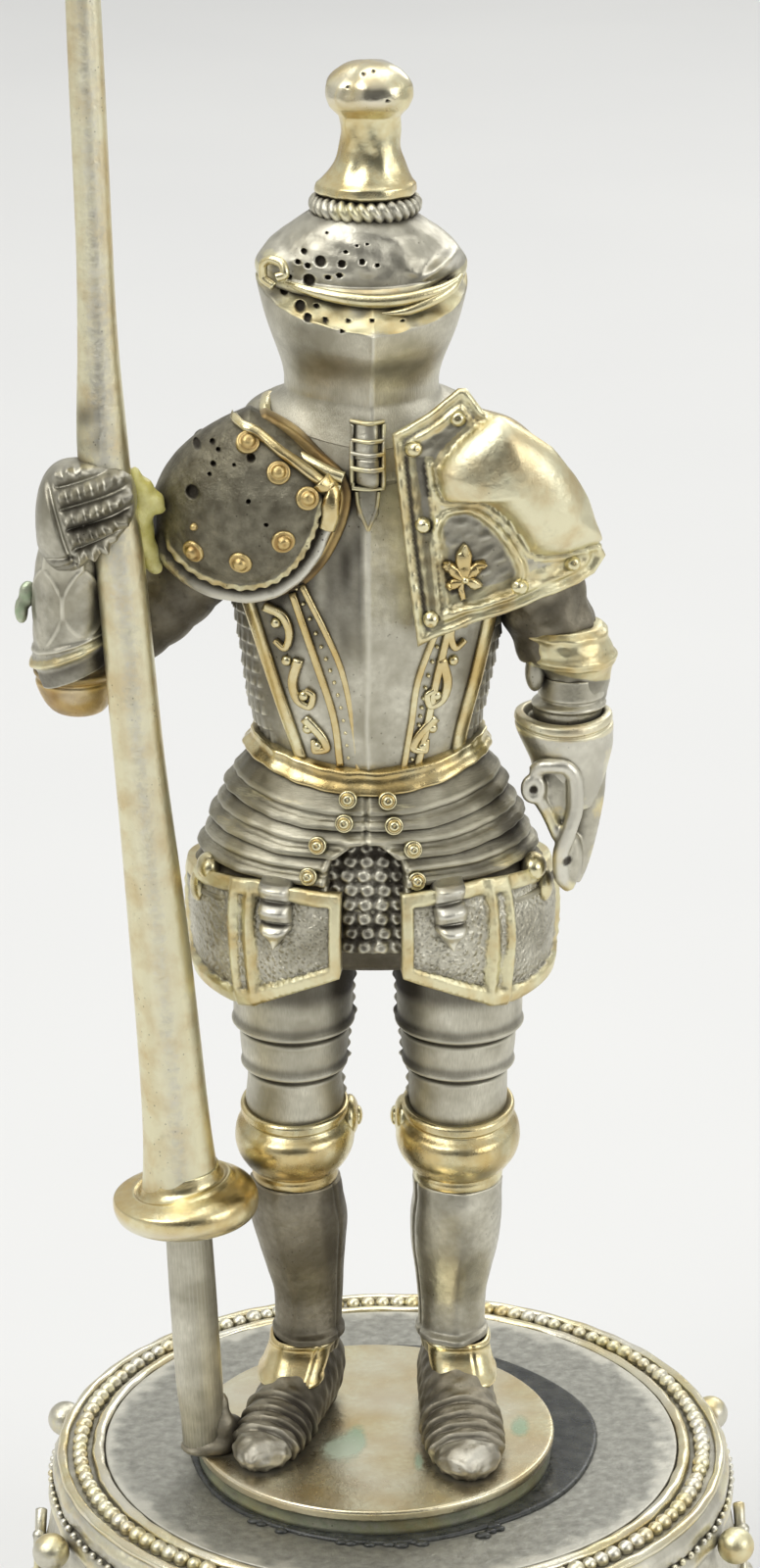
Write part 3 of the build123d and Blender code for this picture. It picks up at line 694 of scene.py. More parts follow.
def rim():
    def worn(round_, across):
        return 0.02 * lumps(np.stack([14 * round_, across, 0 * across], -1), 0.8)

    for name, major, minor, h in (("inner_rim_wire", 12.92, 0.28, SHELF_H + 0.12),
                                  ("outer_rim_wire", 14.5, 0.22, SHELF_H + 0.04)):
        points, faces = torus((0, 0, h), major, minor, 400, 20, worn)
        # Painted highlight on the rim wires, a little uneven
        paint(make(name + "_chased", points, faces, GILT, name), "bright", 0.4 + 0.3 * lumps(points, 1.5))
    rng = np.random.default_rng(SEED)
    for name, ring_r, count, h, radius in (("rim_beads", 13.72, 122, SHELF_H + 0.16, 0.37),
                                           ("lower_beads", 15.02, 146, 14.62, 0.16)):
        heads = []
        for i in range(count):
            turn = 2 * math.pi * (i + rng.uniform(-0.08, 0.08)) / count
            size = radius * rng.uniform(0.85, 1.08)
            centre = (ring_r * math.cos(turn), ring_r * math.sin(turn), h)
            heads.append(ball(centre, (size, size, size), 8, 12))
        points, faces = merged(heads)
        beads = make(name + "_cast", points, faces, SILVERED, name)
        paint(beads, "gilt", 0.62 + 0.5 * lumps(points, 1.6))
        # Painted highlight on the beads, a little uneven
        paint(beads, "bright", 0.3 + 0.3 * lumps(points, 1.1))


def frieze():
    """Balls and C-scrolls applied round the wall."""
    shapes = []
    count = 16
    for i in range(count):
        turn = math.radians(23.5) + 2 * math.pi * i / count
        out = np.array([math.cos(turn), math.sin(turn), 0])
        side = np.array([-math.sin(turn), math.cos(turn), 0])
        up = np.array([0, 0, 1.0])
        if i % 2 == 0:
            shapes.append(ball(out * 15.95 + up * 13.9, (0.8, 0.8, 0.8), 16, 24))
        for hand in (-1, 1):
            s = np.linspace(0, 1, 26)
            curl = 0.3 + 4.4 * s
            size = 1.25 * (1 - 0.62 * s)
            across = hand * (1.5 - size * np.sin(curl))
            rise = 10.4 + 1.3 * size * np.cos(curl)
            r = 15.35 + 0.03 * (12.2 - rise) + 0.25
            centre = out * r[:, None] + side * across[:, None] + up * rise[:, None]
            knots = np.column_stack([centre[:, :2], height(centre), 0.27 - 0.1 * s])
            shapes.append(wire(knots, 60, 12, flat=tuple(out)))
        shapes.append(ball(out * 15.75 + up * 9.2, (0.5, 0.5, 0.5), 12, 16))
    points, faces = merged(shapes)
    paint(make("side_frieze", points, faces, SILVERED, "side_bosses"), "gilt",
          0.5 + 0.5 * lumps(points, 3.0))


def footing():
    centre = (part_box("footplate")[0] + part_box("footplate")[1]) / 2 / MM
    radius = (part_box("footplate")[1].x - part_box("footplate")[0].x) / 2 / MM

    # The dark film under the footplate is glue, and where it shows round the plate's edge it also stands in
    # for the plate's shadow, reaching out furthest at the front
    def edge_wave_and_shadow(angle, z):
        return 0.09 * np.sin(3 * angle + 1) + 0.06 * np.sin(7 * angle) + 0.5 * bump(angle, 4.45, 0.75)

    film = [(TOP_PLATE_H - 0.05, 9.05), (TOP_PLATE_H + 0.08, 9.02), (TOP_PLATE_H + 0.16, 8.85),
            (TOP_PLATE_H + 0.14, 8.4), (TOP_PLATE_H + 0.12, 7.0)]
    stem = [(TOP_PLATE_H + 0.05, 7.75), (GROUND - 0.5, 7.62), (GROUND - 0.35, 7.6)]
    bed = capped(turned(film, 0, 0, rows=24, cols=200, relief=edge_wave_and_shadow))
    points, faces = capped(turned(stem, centre.x, centre.y, rows=8, cols=160))
    layer = make("footplate_solder_layer", points, faces, SILVERED)
    paint(layer, "gilt", 0.45 + 0.3 * lumps(points, 1.5))
    paint(layer, "green", 0.42)
    # Painted shade under the footplate's overhanging rim, over the layer's dark tarnish
    paint(layer, "dark", 0.45)
    rng = np.random.default_rng(SEED)
    crumbs = []
    for _ in range(46):
        turn = math.radians(rng.uniform(232, 305))
        reach = 9.3 + rng.uniform(-0.3, 0.35)
        size = rng.uniform(0.08, 0.24)
        crumbs.append(ball((reach * math.cos(turn), reach * math.sin(turn), TOP_PLATE_H + 0.03),
                           (size * 1.6, size * 1.1, size * 0.7), 8, 10))
    make("adhesive_film_and_shadow", *merged([bed] + crumbs), GLUE_AND_SHADOW, "adhesive_bed")

    plate = [(GROUND - 0.55, 0.1), (GROUND - 0.55, radius - 0.25), (GROUND - 0.42, radius - 0.02),
             (GROUND - 0.2, radius), (GROUND - 0.06, radius - 0.04), (GROUND - 0.01, radius - 0.16),
             (GROUND, radius - 0.6), (GROUND, 4.0), (GROUND, 0.1)]
    points, faces = capped(turned(plate, centre.x, centre.y, rows=110, cols=220))
    disc = make("footplate_gilt", points, faces, GILT, "footplate")
    patches = [(-2.5, -3.5, 0.95, 1.5), (5.6, -1.4, 0.5, 1.3), (-1.5, -2.6, 0.5, 1.2),
               (1.2, -4.6, 0.3, 1.2)]
    across, along = points[:, 0], points[:, 1]
    green = sum(spot(across, along, (x, y), (w, d)) for x, y, w, d in patches)
    paint(disc, "green", (green + 0.12 * lumps(points, 1.0)) * (points[:, 2] > GROUND - 0.02) - 0.1)
    # Painted reflection of the legs: two darker patches at the front of the disc
    leg_reflection = 0.16 * spot(across, along, (-3.2, -6.6), (2.0, 1.1))
    leg_reflection += 0.16 * spot(across, along, (2.6, -7.3), (1.6, 0.8))
    paint(disc, "dark", leg_reflection * (0.9 + 0.7 * lumps(points, 1.0)))
    # Painted highlight: the whole disc lightened, a little unevenly
    paint(disc, "bright", 0.42 + 0.14 * lumps(points, 2.0))


# ------------------------------------------------------------------ legs
def lamed(edges, rise=0.15, roll=0.1, drop=0.2):
    """Overlapping plates: each swells down to its rolled lower edge, with a groove below it."""
    def relief(angle, h):
        out = 0 * h
        for edge in edges:
            above = np.clip((edge + 1.4 - h) / 1.4, 0, 1) * (h > edge)
            out = out + rise * above + roll * bump(h, edge + 0.1, 0.13) - drop * bump(h, edge - 0.16, 0.12)
        return out
    return relief


def leg(side, knee, ankle, splay):
    """One leg's plates; splay turns the front ridge outwards."""
    cuisse(side, knee)
    poleyn(side, knee, splay)
    greave(side, knee, ankle, splay)


def cuisse(side, knee):
    name = HAND[side]
    kx, ky = knee
    slim = 0.91 if side < 0 else 0.96       # the right thigh is a little thinner
    thigh = [(14.3, kx, ky, 2.05, 2.1), (15.1, kx, ky, 2.1, 2.15), (16.4, kx, ky, 2.2 * slim, 2.3),
             (17.9, kx, ky, 2.5 * slim, 2.6), (19.4, kx + 0.05 * side, ky, 2.7 * slim, 2.85),
             (21.4, kx, ky, 2.95 * slim, 3.0), (23.0, kx - 0.3 * side, ky, 3.1, 3.0)]
    edges = (18.75, 16.8) if side < 0 else (18.7, 16.85)
    plates = lamed(edges)

    def cuisse_relief(angle, h):
        inner = bump(angle, -side * 1.75, 0.09)
        return plates(angle, h) + 0.07 * inner * np.sin(12 * h) + 0.12 * inner

    points, faces = capped(column(thigh, 220, 150, cuisse_relief))
    piece = make(name + "_cuisse_plates", points, faces, BRUSHED, name + "_cuisse")
    h = height(points)
    shadow = sum(bump(h, e + 0.38, 0.2) + 0.8 * bump(h, e - 0.16, 0.09) for e in edges)
    inner_side = smoothstep(1.2, 2.2, -side * (points[:, 0] - kx))
    # Painted shadow along the lame edges and at the top under the tassets, and painted shade on the inner
    # side of the thigh
    paint(piece, "dark", 0.5 * shadow + 0.7 * smoothstep(19.9, 20.8, h) + 0.45 * inner_side)


def poleyn(side, knee, splay):
    name = HAND[side]
    kx, ky = knee

    def knee_relief(angle, h):
        return 0.2 * bump(angle, splay * 0.5, 0.9) * bump(h, 13.5, 1.3)

    size = 0.94 if side < 0 else 0.98       # the right knee is drawn a little smaller
    profile = [(11.4, 1.75, 1.85), (11.46, 1.94, 2.05), (11.68, 1.98, 2.1), (11.9, 1.96, 2.05),
               (12.2, 2.24, 2.35), (12.75, 2.58, 2.7), (13.4, 2.72, 2.82), (14.0, 2.64, 2.74),
               (14.35, 2.42, 2.54), (14.5, 2.36, 2.46), (14.66, 2.46, 2.56), (14.86, 2.48, 2.56),
               (15.0, 2.34, 2.42), (14.95, 2.1, 2.2)]
    cap = [(h, kx, ky, size * wide, size * deep) for h, wide, deep in profile]
    wing = ball((kx - side * 2.35, ky + 0.3, GROUND + 14.1), (0.42, 1.0, 0.9), 20, 30)
    wing_boss = ball((kx - side * 2.72, ky + 0.3, GROUND + 14.1), (0.2, 0.45, 0.42), 12, 18)
    grid = column(cap, 150, 140, knee_relief)
    upper = smoothstep(13.4, 14.6, height(grid))
    grid[..., 2] -= 0.3 * upper * (ky - grid[..., 1]) / 2.4
    points, faces = merged([capped(grid), wing, wing_boss])
    piece = make(name + "_poleyn_cap", points, faces, GILT, name + "_poleyn")
    paint(piece, "dark", 0.13 + 0.16 * lumps(points, 0.8))


def greave(side, knee, ankle, splay):
    name = HAND[side]
    kx, ky = knee
    ax, ay = ankle
    calf = [(3.3, ax, ay - 0.5, 1.3, 1.4), (3.8, ax, ay - 0.5, 1.42, 1.56),
            (4.0, ax, ay - 0.42, 1.58, 1.78), (4.16, ax, ay - 0.35, 1.58, 1.78),
            (4.35, ax, ay - 0.15, 1.46, 1.6), (5.6, ax, ay - 0.02, 1.5, 1.62),
            (6.9, (ax * 3 + kx) / 4, ay * 0.8, 1.68, 1.85), (8.2, (ax + kx) / 2, ay * 0.6, 1.9, 2.12),
            (9.6, (ax + 3 * kx) / 4, ay * 0.4, 2.1 if side < 0 else 1.98, 2.2),
            (10.8, kx, ky, 2.05 if side < 0 else 1.92, 2.05), (11.4, kx, ky, 1.95, 1.95)]

    def calf_relief(angle, h):
        seam = bump(angle, splay + side * -1.35, 0.05) + bump(angle, splay + side * 1.5, 0.05)
        return 0.13 * bump(angle, splay,
                           0.28) - 0.09 * seam + 0.03 * np.sin(6 * angle) * bump(h, 4.08, 0.15)

    points, faces = capped(column(calf, 150, 140, calf_relief))
    piece = make(name + "_greave_shell", points, faces, OXIDISED if side < 0 else SILVERED,
                 name + "_greave")
    h = height(points)
    off = points[:, 0] - np.interp(h, [row[0] for row in calf], [row[1] for row in calf])
    shaded = 0.45 * smoothstep(0.85, 1.25, off) if side < 0 else 0.08
    paint(piece, "dark", 0.3 * bump(h, 4.0, 0.5) + shaded + 0.14 * lumps(points, 1.6))


# Share of the way from ankle to toe, height and half width.
FOOT = [(-0.26, 2.2, 0.9), (-0.2, 3.0, 1.3), (-0.06, 3.5, 1.5), (0.14, 3.4, 1.62), (0.32, 2.95, 1.72),
        (0.5, 2.3, 1.74), (0.66, 1.75, 1.66), (0.8, 1.4, 1.48), (0.9, 1.2, 1.2), (0.97, 0.9, 0.75),
        (1.0, 0.6, 0.2)]


def foot(side, ankle, toe):
    """A sabaton: gilt instep cuff, then lames down to a round toe cap."""
    name = HAND[side]
    start, tip = np.array([*ankle, 0.0]), np.array([*toe, 0.0])
    length = np.linalg.norm(tip - start)
    ahead = (tip - start) / length
    breadth = 0.88 if side < 0 else 0.97
    knots = []
    for share, top, wide in FOOT:
        place = start + ahead * share * length
        knots.append((place[0], place[1], top * 0.42, wide * breadth, top * 0.58))
    edges = (0.5, 0.6, 0.685, 0.765)

    def relief(angle, row):
        share = np.interp(row, np.linspace(0, 1, len(FOOT)), [knot[0] for knot in FOOT])
        lift = 0.04 * np.sin(60 * share) * np.sin(7 * angle)
        for edge in edges:
            lift = lift + 0.17 * np.clip((share - edge + 0.09) / 0.09, 0, 1) * (share < edge)
            lift = lift - 0.1 * bump(share, edge + 0.014, 0.012)
        return lift + 0.08 * bump(share, 0.87, 0.04)

    grid = tube(knots, 220, 100, relief, flat=(-ahead[1], ahead[0], 0))
    grid[..., 2] = np.maximum(grid[..., 2], GROUND + 0.02)
    points, faces = capped(grid)
    piece = make(name + "_sabaton_lames", points, faces, OXIDISED, name + "_sabaton")
    off = points - np.array([*ankle, GROUND])
    inward = -side * (off[:, 0] - off[:, 1] * ahead[0] / ahead[1])
    share = (off[:, 0] * ahead[0] + off[:, 1] * ahead[1]) / length
    stripes = sum(bump(share, e + 0.025, 0.022) for e in edges)
    wet = smoothstep(0.1, 1.3, inward) * smoothstep(0.85, 0.6, share)
    grime = (0.75 if side < 0 else 0.3) * (wet + 0.6 * stripes * (inward > -0.3))
    paint(piece, "dark", grime + 0.1 * lumps(points, 0.6))
    # Painted highlight towards the toe cap, a little uneven
    paint(piece, "bright", 0.5 * smoothstep(0.74, 0.86, share) * (0.7 + 0.4 * lumps(points, 0.7)))

    lean = 0.55 if side < 0 else 0.3
    x, y = ankle[0] + side * 0.2, ankle[1] - 0.65
    cuff = [(2.0, x + side * lean, y - 0.6, 1.2, 1.5), (2.2, x + side * lean, y - 0.6, 1.36, 1.74),
            (2.4, x + side * lean, y - 0.55, 1.42, 1.8), (2.8, x + side * lean * 0.7, y - 0.35, 1.4, 1.66),
            (3.4, x + side * lean * 0.3, y - 0.1, 1.38, 1.5), (3.75, x + side * 0.05, y, 1.42, 1.5),
            (3.9, x, y + 0.02, 1.4, 1.48), (3.95, x, y + 0.02, 1.3, 1.4), (3.6, x, y + 0.1, 1.1, 1.2)]

    def facets(angle, h):
        return 0.06 * bump(h, 3.85, 0.12) + 0.06 * bump(h, 2.35, 0.14) - 0.05 * bump(angle, 0.35, 0.05)

    points, faces = capped(column(cuff, 80, 140, facets, power=2.7))
    piece = make(name + "_instep_cuff", points, faces, GILT)
    inward = -side * (points[:, 0] - x)
    tar = smoothstep(0.5, 1.5, inward) * (0.9 if side < 0 else 0.1)
    paint(piece, "dark", tar + 0.5 * smoothstep(2.5, 2.1, height(points)) * (side < 0))


# ------------------------------------------------------------------ hips and skirt
# Sections of an upright body: (h, x, y, half width, half depth), as column() takes them.
HIPS = [(20.3, -0.7, 0, 7.1, 5.0), (21.8, -0.77, 0, 7.6, 5.15), (24.0, -0.8, 0, 7.85, 5.2),
        (25.5, -0.9, 0, 7.6, 5.1), (27.0, -1.0, 0, 7.05, 4.9), (28.7, -1.03, 0, 6.35, 4.6),
        (30.3, -1.04, 0, 5.5, 4.2), (31.2, -1.0, 0, 5.05, 3.85)]
TASSET = [(20.8, -0.72, 0, 6.95, 4.85), (21.8, -0.77, 0, 7.3, 5.05), (24.0, -0.8, 0, 7.5, 5.2),
          (25.5, -0.9, 0, 7.35, 5.15), (26.6, -1.0, 0, 7.0, 5.0)]
LAME_EDGES = (29.5, 28.15, 26.8, 25.2)
MAIL_X = -1.07


def hip_at(h):
    """Centre, half width and half depth of the skirt at heights h."""
    k = np.array(HIPS)
    return [np.interp(h, k[:, 0], k[:, i]) for i in (1, 3, 4)]


def mail_arch(x, h, grow=0.0):
    """How far a point is inside the arched opening at the front; negative outside."""
    radius, spring = 1.6 + grow, 27.1
    top = radius - np.hypot(x - MAIL_X, np.maximum(h - spring, 0))
    return np.where(h > spring, top, radius - np.abs(x - MAIL_X))


def hip_core():
    core = [(22.1, -0.8, 0, 5.6, 3.0), (22.6, -0.8, 0, 5.8, 3.5), (24, -0.85, 0, 6.1, 3.9),
            (27, -1.0, 0, 5.9, 3.9), (30.9, -1.0, 0, 4.8, 3.5)]
    points, faces = capped(column(core, 40, 120))
    # Painted shade: the core shows only through the gaps between the plates
    paint(make("hip_core_cast", points, faces, OXIDISED, "hip_core"), "dark", 0.6)


def fauld():
    edges = (31.1,) + LAME_EDGES
    for i in range(4):
        top, low = edges[i], edges[i + 1]
        heights = np.array([low + 0.02, low, low + 0.08, low + 0.22, low + 0.34, low + 0.42, low + 0.9,
                            top + 0.1])
        swell = np.array([-0.6, -0.06, 0.1, 0.1, 0.02, -0.08, -0.12, -0.36])
        sections = []
        for h, s in zip(heights, swell):
            cx, wide, deep = hip_at(h)
            sections.append((h, cx, 0, wide + s, deep + s))

        def relief(a, h):
            cx, wide, _ = hip_at(h)
            x = cx + wide * np.sin(a)
            front = np.cos(a) > 0
            arch = np.where(front, mail_arch(x, h), -9)
            seam = np.where(front, bump(x, MAIL_X, 0.09), 0)
            lip = 0.14 * bump(arch, -0.16, 0.16)
            hollow = 0.7 * smoothstep(-0.06, 0.1, arch)
            dents = 0.03 * lumps(np.stack([x, 9 * np.cos(a), h], -1), 0.9)
            ridge = 0.11 * bump(h, low + 0.72, 0.13) - 0.05 * bump(h, low + 0.5, 0.08)
            return lip - hollow - 0.16 * seam + dents + ridge

        points, faces = capped(dipped(column(sections, 46, 420, relief), 0.75 - 0.22 * i))
        piece = make(f"fauld_lame_{i + 1}_plate", points, faces, BRUSHED_SIDE, f"fauld_lame_{i + 1}")
        h = height(points)
        side = smoothstep(1.5, 5.5, np.abs(points[:, 0] - MAIL_X))
        paint(piece, "gilt", 0.3 * bump(h, low + 0.15, 0.25) + 0.16 * lumps(points, 1.8))
        # Patchy stained marks with painted shade, darker towards the figure's left side
        stains_and_shade = smoothstep(0.0, 4.0, points[:, 0]) * (0.5 + 0.6 * lumps(points, 1.4))
        # Painted shadow under the lame above, stronger on the flanks, and a little painted shade on the
        # flanks
        shade_under_lame = 0.55 * smoothstep(low + 0.8, top, h) * (0.35 + 0.6 * side)
        paint(piece, "dark", shade_under_lame + 0.1 * side + 0.4 * stains_and_shade)


def mail_panel():
    bed = Surface(capped(column([(h, cx, y, w - 0.8, d - 0.62) for h, cx, y, w, d in HIPS], 40, 160)))
    top = [(MAIL_X + 1.62 * math.cos(t), 27.1 + 1.62 * math.sin(t)) for t in np.linspace(0, math.pi, 12)]
    outline = [(MAIL_X - 1.62, 23.5), (MAIL_X + 1.62, 23.5)] + top

    def rings(d, x, h):
        row = (h - 22.9) / 0.6
        across = (x - MAIL_X) / 0.68 + 0.12 * np.sin(2.3 * np.floor(row))
        r = np.hypot((across - np.round(across)) * 0.68, (row - np.floor(row) - 0.5) * 0.72)
        droop = 0.1 * np.sin(9 * across) * (row - np.floor(row) - 0.5)
        strand = 0.28 * np.sqrt(np.clip(1 - (r / 0.36) ** 2, 0, 1)) - 0.13 * bump(r, 0, 0.1)
        return strand + droop + 0.03 * lumps_flat(x, h, 1)

    points, faces, _ = patch(bed, outline, rings, spacing=0.085, sink=0.4)
    mail = make("mail_panel_rings", points, faces, SILVERED, "mail_panel")
    paint(mail, "dark", 0.6 + 0.2 * lumps(points, 0.9))


def tasset(side):
    """One framed hip plate wrapped round from the front to the side, with its buckled strap."""
    name = HAND[side]
    cx = -0.85
    base = capped(column(TASSET, 50, 240))
    round_ = Around(base, cx, 0, 7.0)

    def arc(degrees):
        return side * math.radians(degrees) * 7.0

    outline = [(arc(14), 26.25), (arc(14), 22.75), (arc(30), 22.1), (arc(50), 21.2), (arc(62), 21.0),
               (arc(92), 21.6), (arc(128), 22.4), (arc(128), 25.6), (arc(95), 26.0), (arc(50), 26.5)]
    ridges = [arc(51), arc(58), arc(92)]

    def relief(d, u, h):
        frame_ = smoothstep(0.6, 0.5, d)
        rib = sum(bump(u, r, 0.24) for r in ridges)
        past, before = (smoothstep(arc(a) * side, arc(b) * side, u * side) for a, b in ((49, 51), (60, 58)))
        valley = 0.15 * past * before
        grain = lumps_flat(u, h, 0.2, 3)
        return 0.2 + 0.26 * np.maximum(frame_, rib) + valley + 0.018 * grain * (1 - frame_)

    points, faces, facts = patch(round_, outline, relief, spacing=0.12, sink=0.5)
    piece = make(name + "_tasset_plate", points, faces, STIPPLED, name + "_tasset")
    d, u = facts[:, 0], facts[:, 1]
    rib = np.maximum.reduce([bump(u, r, 0.3) for r in ridges])
    paint(piece, "gilt", np.maximum(0.75 * smoothstep(0.66, 0.5, d), 0.75 * rib) + 0.2
          + 0.12 * lumps(points, 1.2))
    paint(piece, "dark", 0.05 * smoothstep(0.5, 0.75, d) * (1 - rib) + 0.35 * bump(d, 0.64, 0.05))

    plate = Surface(base)
    x, x_low = (-4.66, -4.66) if side < 0 else (2.23, 2.35)
    bars = (0.16, 0.42, 0.68)

    def stepped(t):
        proud = 0.3 * sum(bump(t, b + 0.1, 0.075) for b in bars)
        return 0.75 + proud - 0.3 * sum(bump(t, b - 0.02, 0.022) for b in bars)

    tab = strip(plate, [(x, 27.0), (x, 26.0), (x_low, 24.9), (x_low, 23.85)], 0.62, 0.85, steps=90,
                sink=0.3, taper=lambda t: min(1, 0.02 + 3.6 * (1 - t)), swell=stepped)
    points, faces = tab
    piece = make(name + "_strap_buckle", points, faces, SILVERED, name + "_tasset_strap")
    paint(piece, "gilt", 0.4 + 0.4 * lumps(points, 0.9))
    # Painted highlight: the strap lightened all over
    paint(piece, "bright", 0.6)
    paint(piece, "dark", 0.45 * sum(bump(height(points), notch, 0.09) for notch in (26.55, 25.75, 24.9)))

    knob = ball((cx + side * 6.75, -1.9, GROUND + 26.35), (0.55, 0.75, 0.6), 20, 28)
    knob_low = ball((cx + side * 7.2, -1.5, GROUND + 25.4), (0.4, 0.6, 0.75), 20, 28)
    points, faces = merged([knob, knob_low])
    paint(make(name + "_tasset_hinge", points, faces, GILT), "dark", 0.2 + 0.2 * lumps(points, 0.6))


def skirt_rivets():
    base = Surface(capped(column([(h, x, y, w + 0.06, d + 0.06) for h, x, y, w, d in HIPS], 50, 240)))
    spots = ((-1.81, 30.1), (-0.18, 30.05), (-1.96, 29.15), (0.08, 29.05), (-3.06, 28.2), (0.87, 28.05),
             (-3.44, 26.9), (1.03, 26.75))
    heads = [stud(base, x, h, 0.27, 0.3, collar=1, dimple=0.25) for x, h in spots]
    make("fauld_rivet_heads", *merged(heads), GILT, "fauld_rivets")


# ------------------------------------------------------------------ trunk
# Sections, as for the hips.
TRUNK = [(30.6, -0.97, 0, 4.5, 3.2), (31.6, -0.96, 0, 4.5, 3.2), (33.05, -1.02, 0, 4.86, 3.3),
         (35.7, -0.94, 0, 5.3, 3.55), (37.5, -0.93, 0, 5.6, 3.7), (39.5, -0.95, 0, 5.85, 3.72),
         (41.5, -0.95, 0, 5.8, 3.66), (43.3, -0.98, 0, 5.3, 3.45), (44.8, -1.05, 0, 4.4, 3.15),
         (45.6, -1.1, 0, 3.6, 2.9)]
# Rings of the collar, as helm_rings() takes them: it runs down from the neck without a seam.
COLLAR = [(46.9, 46.9, 3.0, 3.1, 3.0), (46.4, 46.55, 3.1, 3.2, 3.08), (45.9, 46.3, 3.2, 3.34, 3.2),
          (45.3, 46.1, 3.5, 3.56, 3.45), (44.7, 45.95, 3.95, 3.8, 3.65), (44.1, 45.75, 4.4, 4.02, 3.8),
          (43.75, 45.5, 4.7, 4.12, 3.86), (43.5, 45.2, 4.8, 4.1, 3.86), (43.3, 44.9, 4.6, 3.9, 3.6),
          (43.0, 44.6, 4.2, 3.5, 3.3)]
COLLAR_ROLL = [(-4.6, 1.2, 45.7), (-5.1, 0.2, 45.85), (-5.15, -0.9, 45.75), (-4.95, -1.9, 45.3),
               (-4.5, -2.8, 44.8), (-3.9, -3.4, 44.5), (-3.1, -3.9, 44.15), (-2.4, -4.2, 43.85),
               (-1.95, -4.3, 43.7)]


def scales(a, h):
    """Rows of small scales on the flanks."""
    row = h / 0.62
    across = a * 7.2 + 0.5 * (np.floor(row) % 2)
    u, v = across - np.round(across), row - np.floor(row)
    return 0.16 * np.sqrt(np.clip(1 - (2 * u) ** 2 * 0.9, 0, 1)) * (1 - v)


def breastplate():
    def breast(a, h):
        keel = 0.42 * np.exp(-np.abs(a) / 0.13) * smoothstep(30.4, 31.5, h) * smoothstep(46, 42, h)
        flank = smoothstep(0.98, 1.05, np.abs(a))
        tuck = -0.25 * smoothstep(1.6, 1.75, np.abs(a))
        return keel + flank * scales(a, h) * smoothstep(40, 38.5, h) + tuck

    points, faces = capped(column(TRUNK, 220, 300, breast))
    piece = make("breastplate_keeled", points, faces, SILVERED, "breastplate")
    h = height(points)
    beside = smoothstep(-1.0, -1.35, points[:, 0]) * smoothstep(-5.4, -4.2, points[:, 0])
    # Darker beside the keel on the figure's right, streaked
    keel_side_dark = beside * smoothstep(34.0, 38.0, h) * smoothstep(44.2, 43.2, h) * (points[:, 1] < 0)
    # Painted shade on both flanks of the trunk
    flank = smoothstep(2.9, 4.2, np.abs(points[:, 0] - BODY_X - 0.1))
    streaks = lumps(points * [1, 1, 0.25], 0.35, 5)
    paint(piece, "dark", keel_side_dark * (0.6 + 0.16 * lumps(points, 1.2) + 0.14 * streaks) + 0.42 * flank)


def backplate():
    def back(a, h):
        spine = 0.12 * bump(np.abs(a), math.pi, 0.12)
        tuck = -0.3 * smoothstep(1.72, 1.6, np.abs(a))
        flank = smoothstep(2.1, 2.0, np.abs(a))
        straps = 0.16 * (bump(h, 33.2, 0.3) + bump(h, 41.6, 0.34))
        return tuck - spine + flank * scales(a, h) * smoothstep(40, 38.5, h) + straps

    points, faces = capped(column(TRUNK, 200, 260, back))
    piece = make("backplate_shell", points, faces, SILVERED, "backplate")
    h = height(points)
    paint(piece, "gilt", (0.9 * bump(h, 33.2, 0.34) + 0.9 * bump(h, 41.6, 0.4)) * (points[:, 1] > 0.8))
    paint(piece, "dark", 0.12 + 0.12 * lumps(points, 2))


def gorget():
    points, faces = capped(helm_rings(COLLAR))
    piece = make("gorget_collar", points, faces, BRUSHED, "gorget")
    h = height(points)
    # Painted shade, darker towards the figure's left side, over an uneven tone
    paint(piece, "dark", 0.1 + 0.12 * lumps(points, 1.3) + 0.35 * smoothstep(0.0, 1.6, points[:, 0]))
    rolls = []
    for off, fall, radius in ((0.0, 0.0, 0.24), (0.12, 0.4, 0.14)):
        knots = [(x - off, y - off, h - fall, radius) for x, y, h in COLLAR_ROLL]
        rolls.append(wire(knots, 120, 14, flat=(0, 0, 1)))
    points, faces = merged(rolls)
    paint(make("gorget_edge_rolls", points, faces, GILT), "dark", 0.08 + 0.14 * lumps(points, 0.8))


def dipped(grid, depth, cy=0.0, reach=4.0):
    """Lowers the front of rings by depth at their foremost point."""
    front = np.clip((cy - grid[..., 1]) / reach, 0, 1)
    grid[..., 2] -= depth * front ** 2
    return grid


def waist():
    rings = [(31.15, -1.0, 0, 4.9, 3.6), (31.17, -1.0, 0, 5.12, 3.86), (31.28, -1.0, 0, 5.2, 3.92),
             (31.42, -0.99, 0, 5.12, 3.84), (31.55, -0.98, 0, 4.98, 3.7), (31.7, -0.97, 0, 4.92, 3.64),
             (31.85, -0.97, 0, 4.92, 3.62), (31.93, -0.97, 0, 4.84, 3.52), (31.9, -0.97, 0, 4.5, 3.2)]

    def relief(a, h):
        return 0.03 * lumps_round(a, h, 6, 0.7)

    points, faces = capped(dipped(column(rings, 90, 300, relief), 1.15))
    flange = make("waist_flange_gilt", points, faces, GILT, "waist_flange")
    paint(flange, "dark", 0.1 + 0.14 * lumps(points, 0.8))


def mirrored(path, axis=-0.9):
    return [(2 * axis - x, h) for x, h in path]


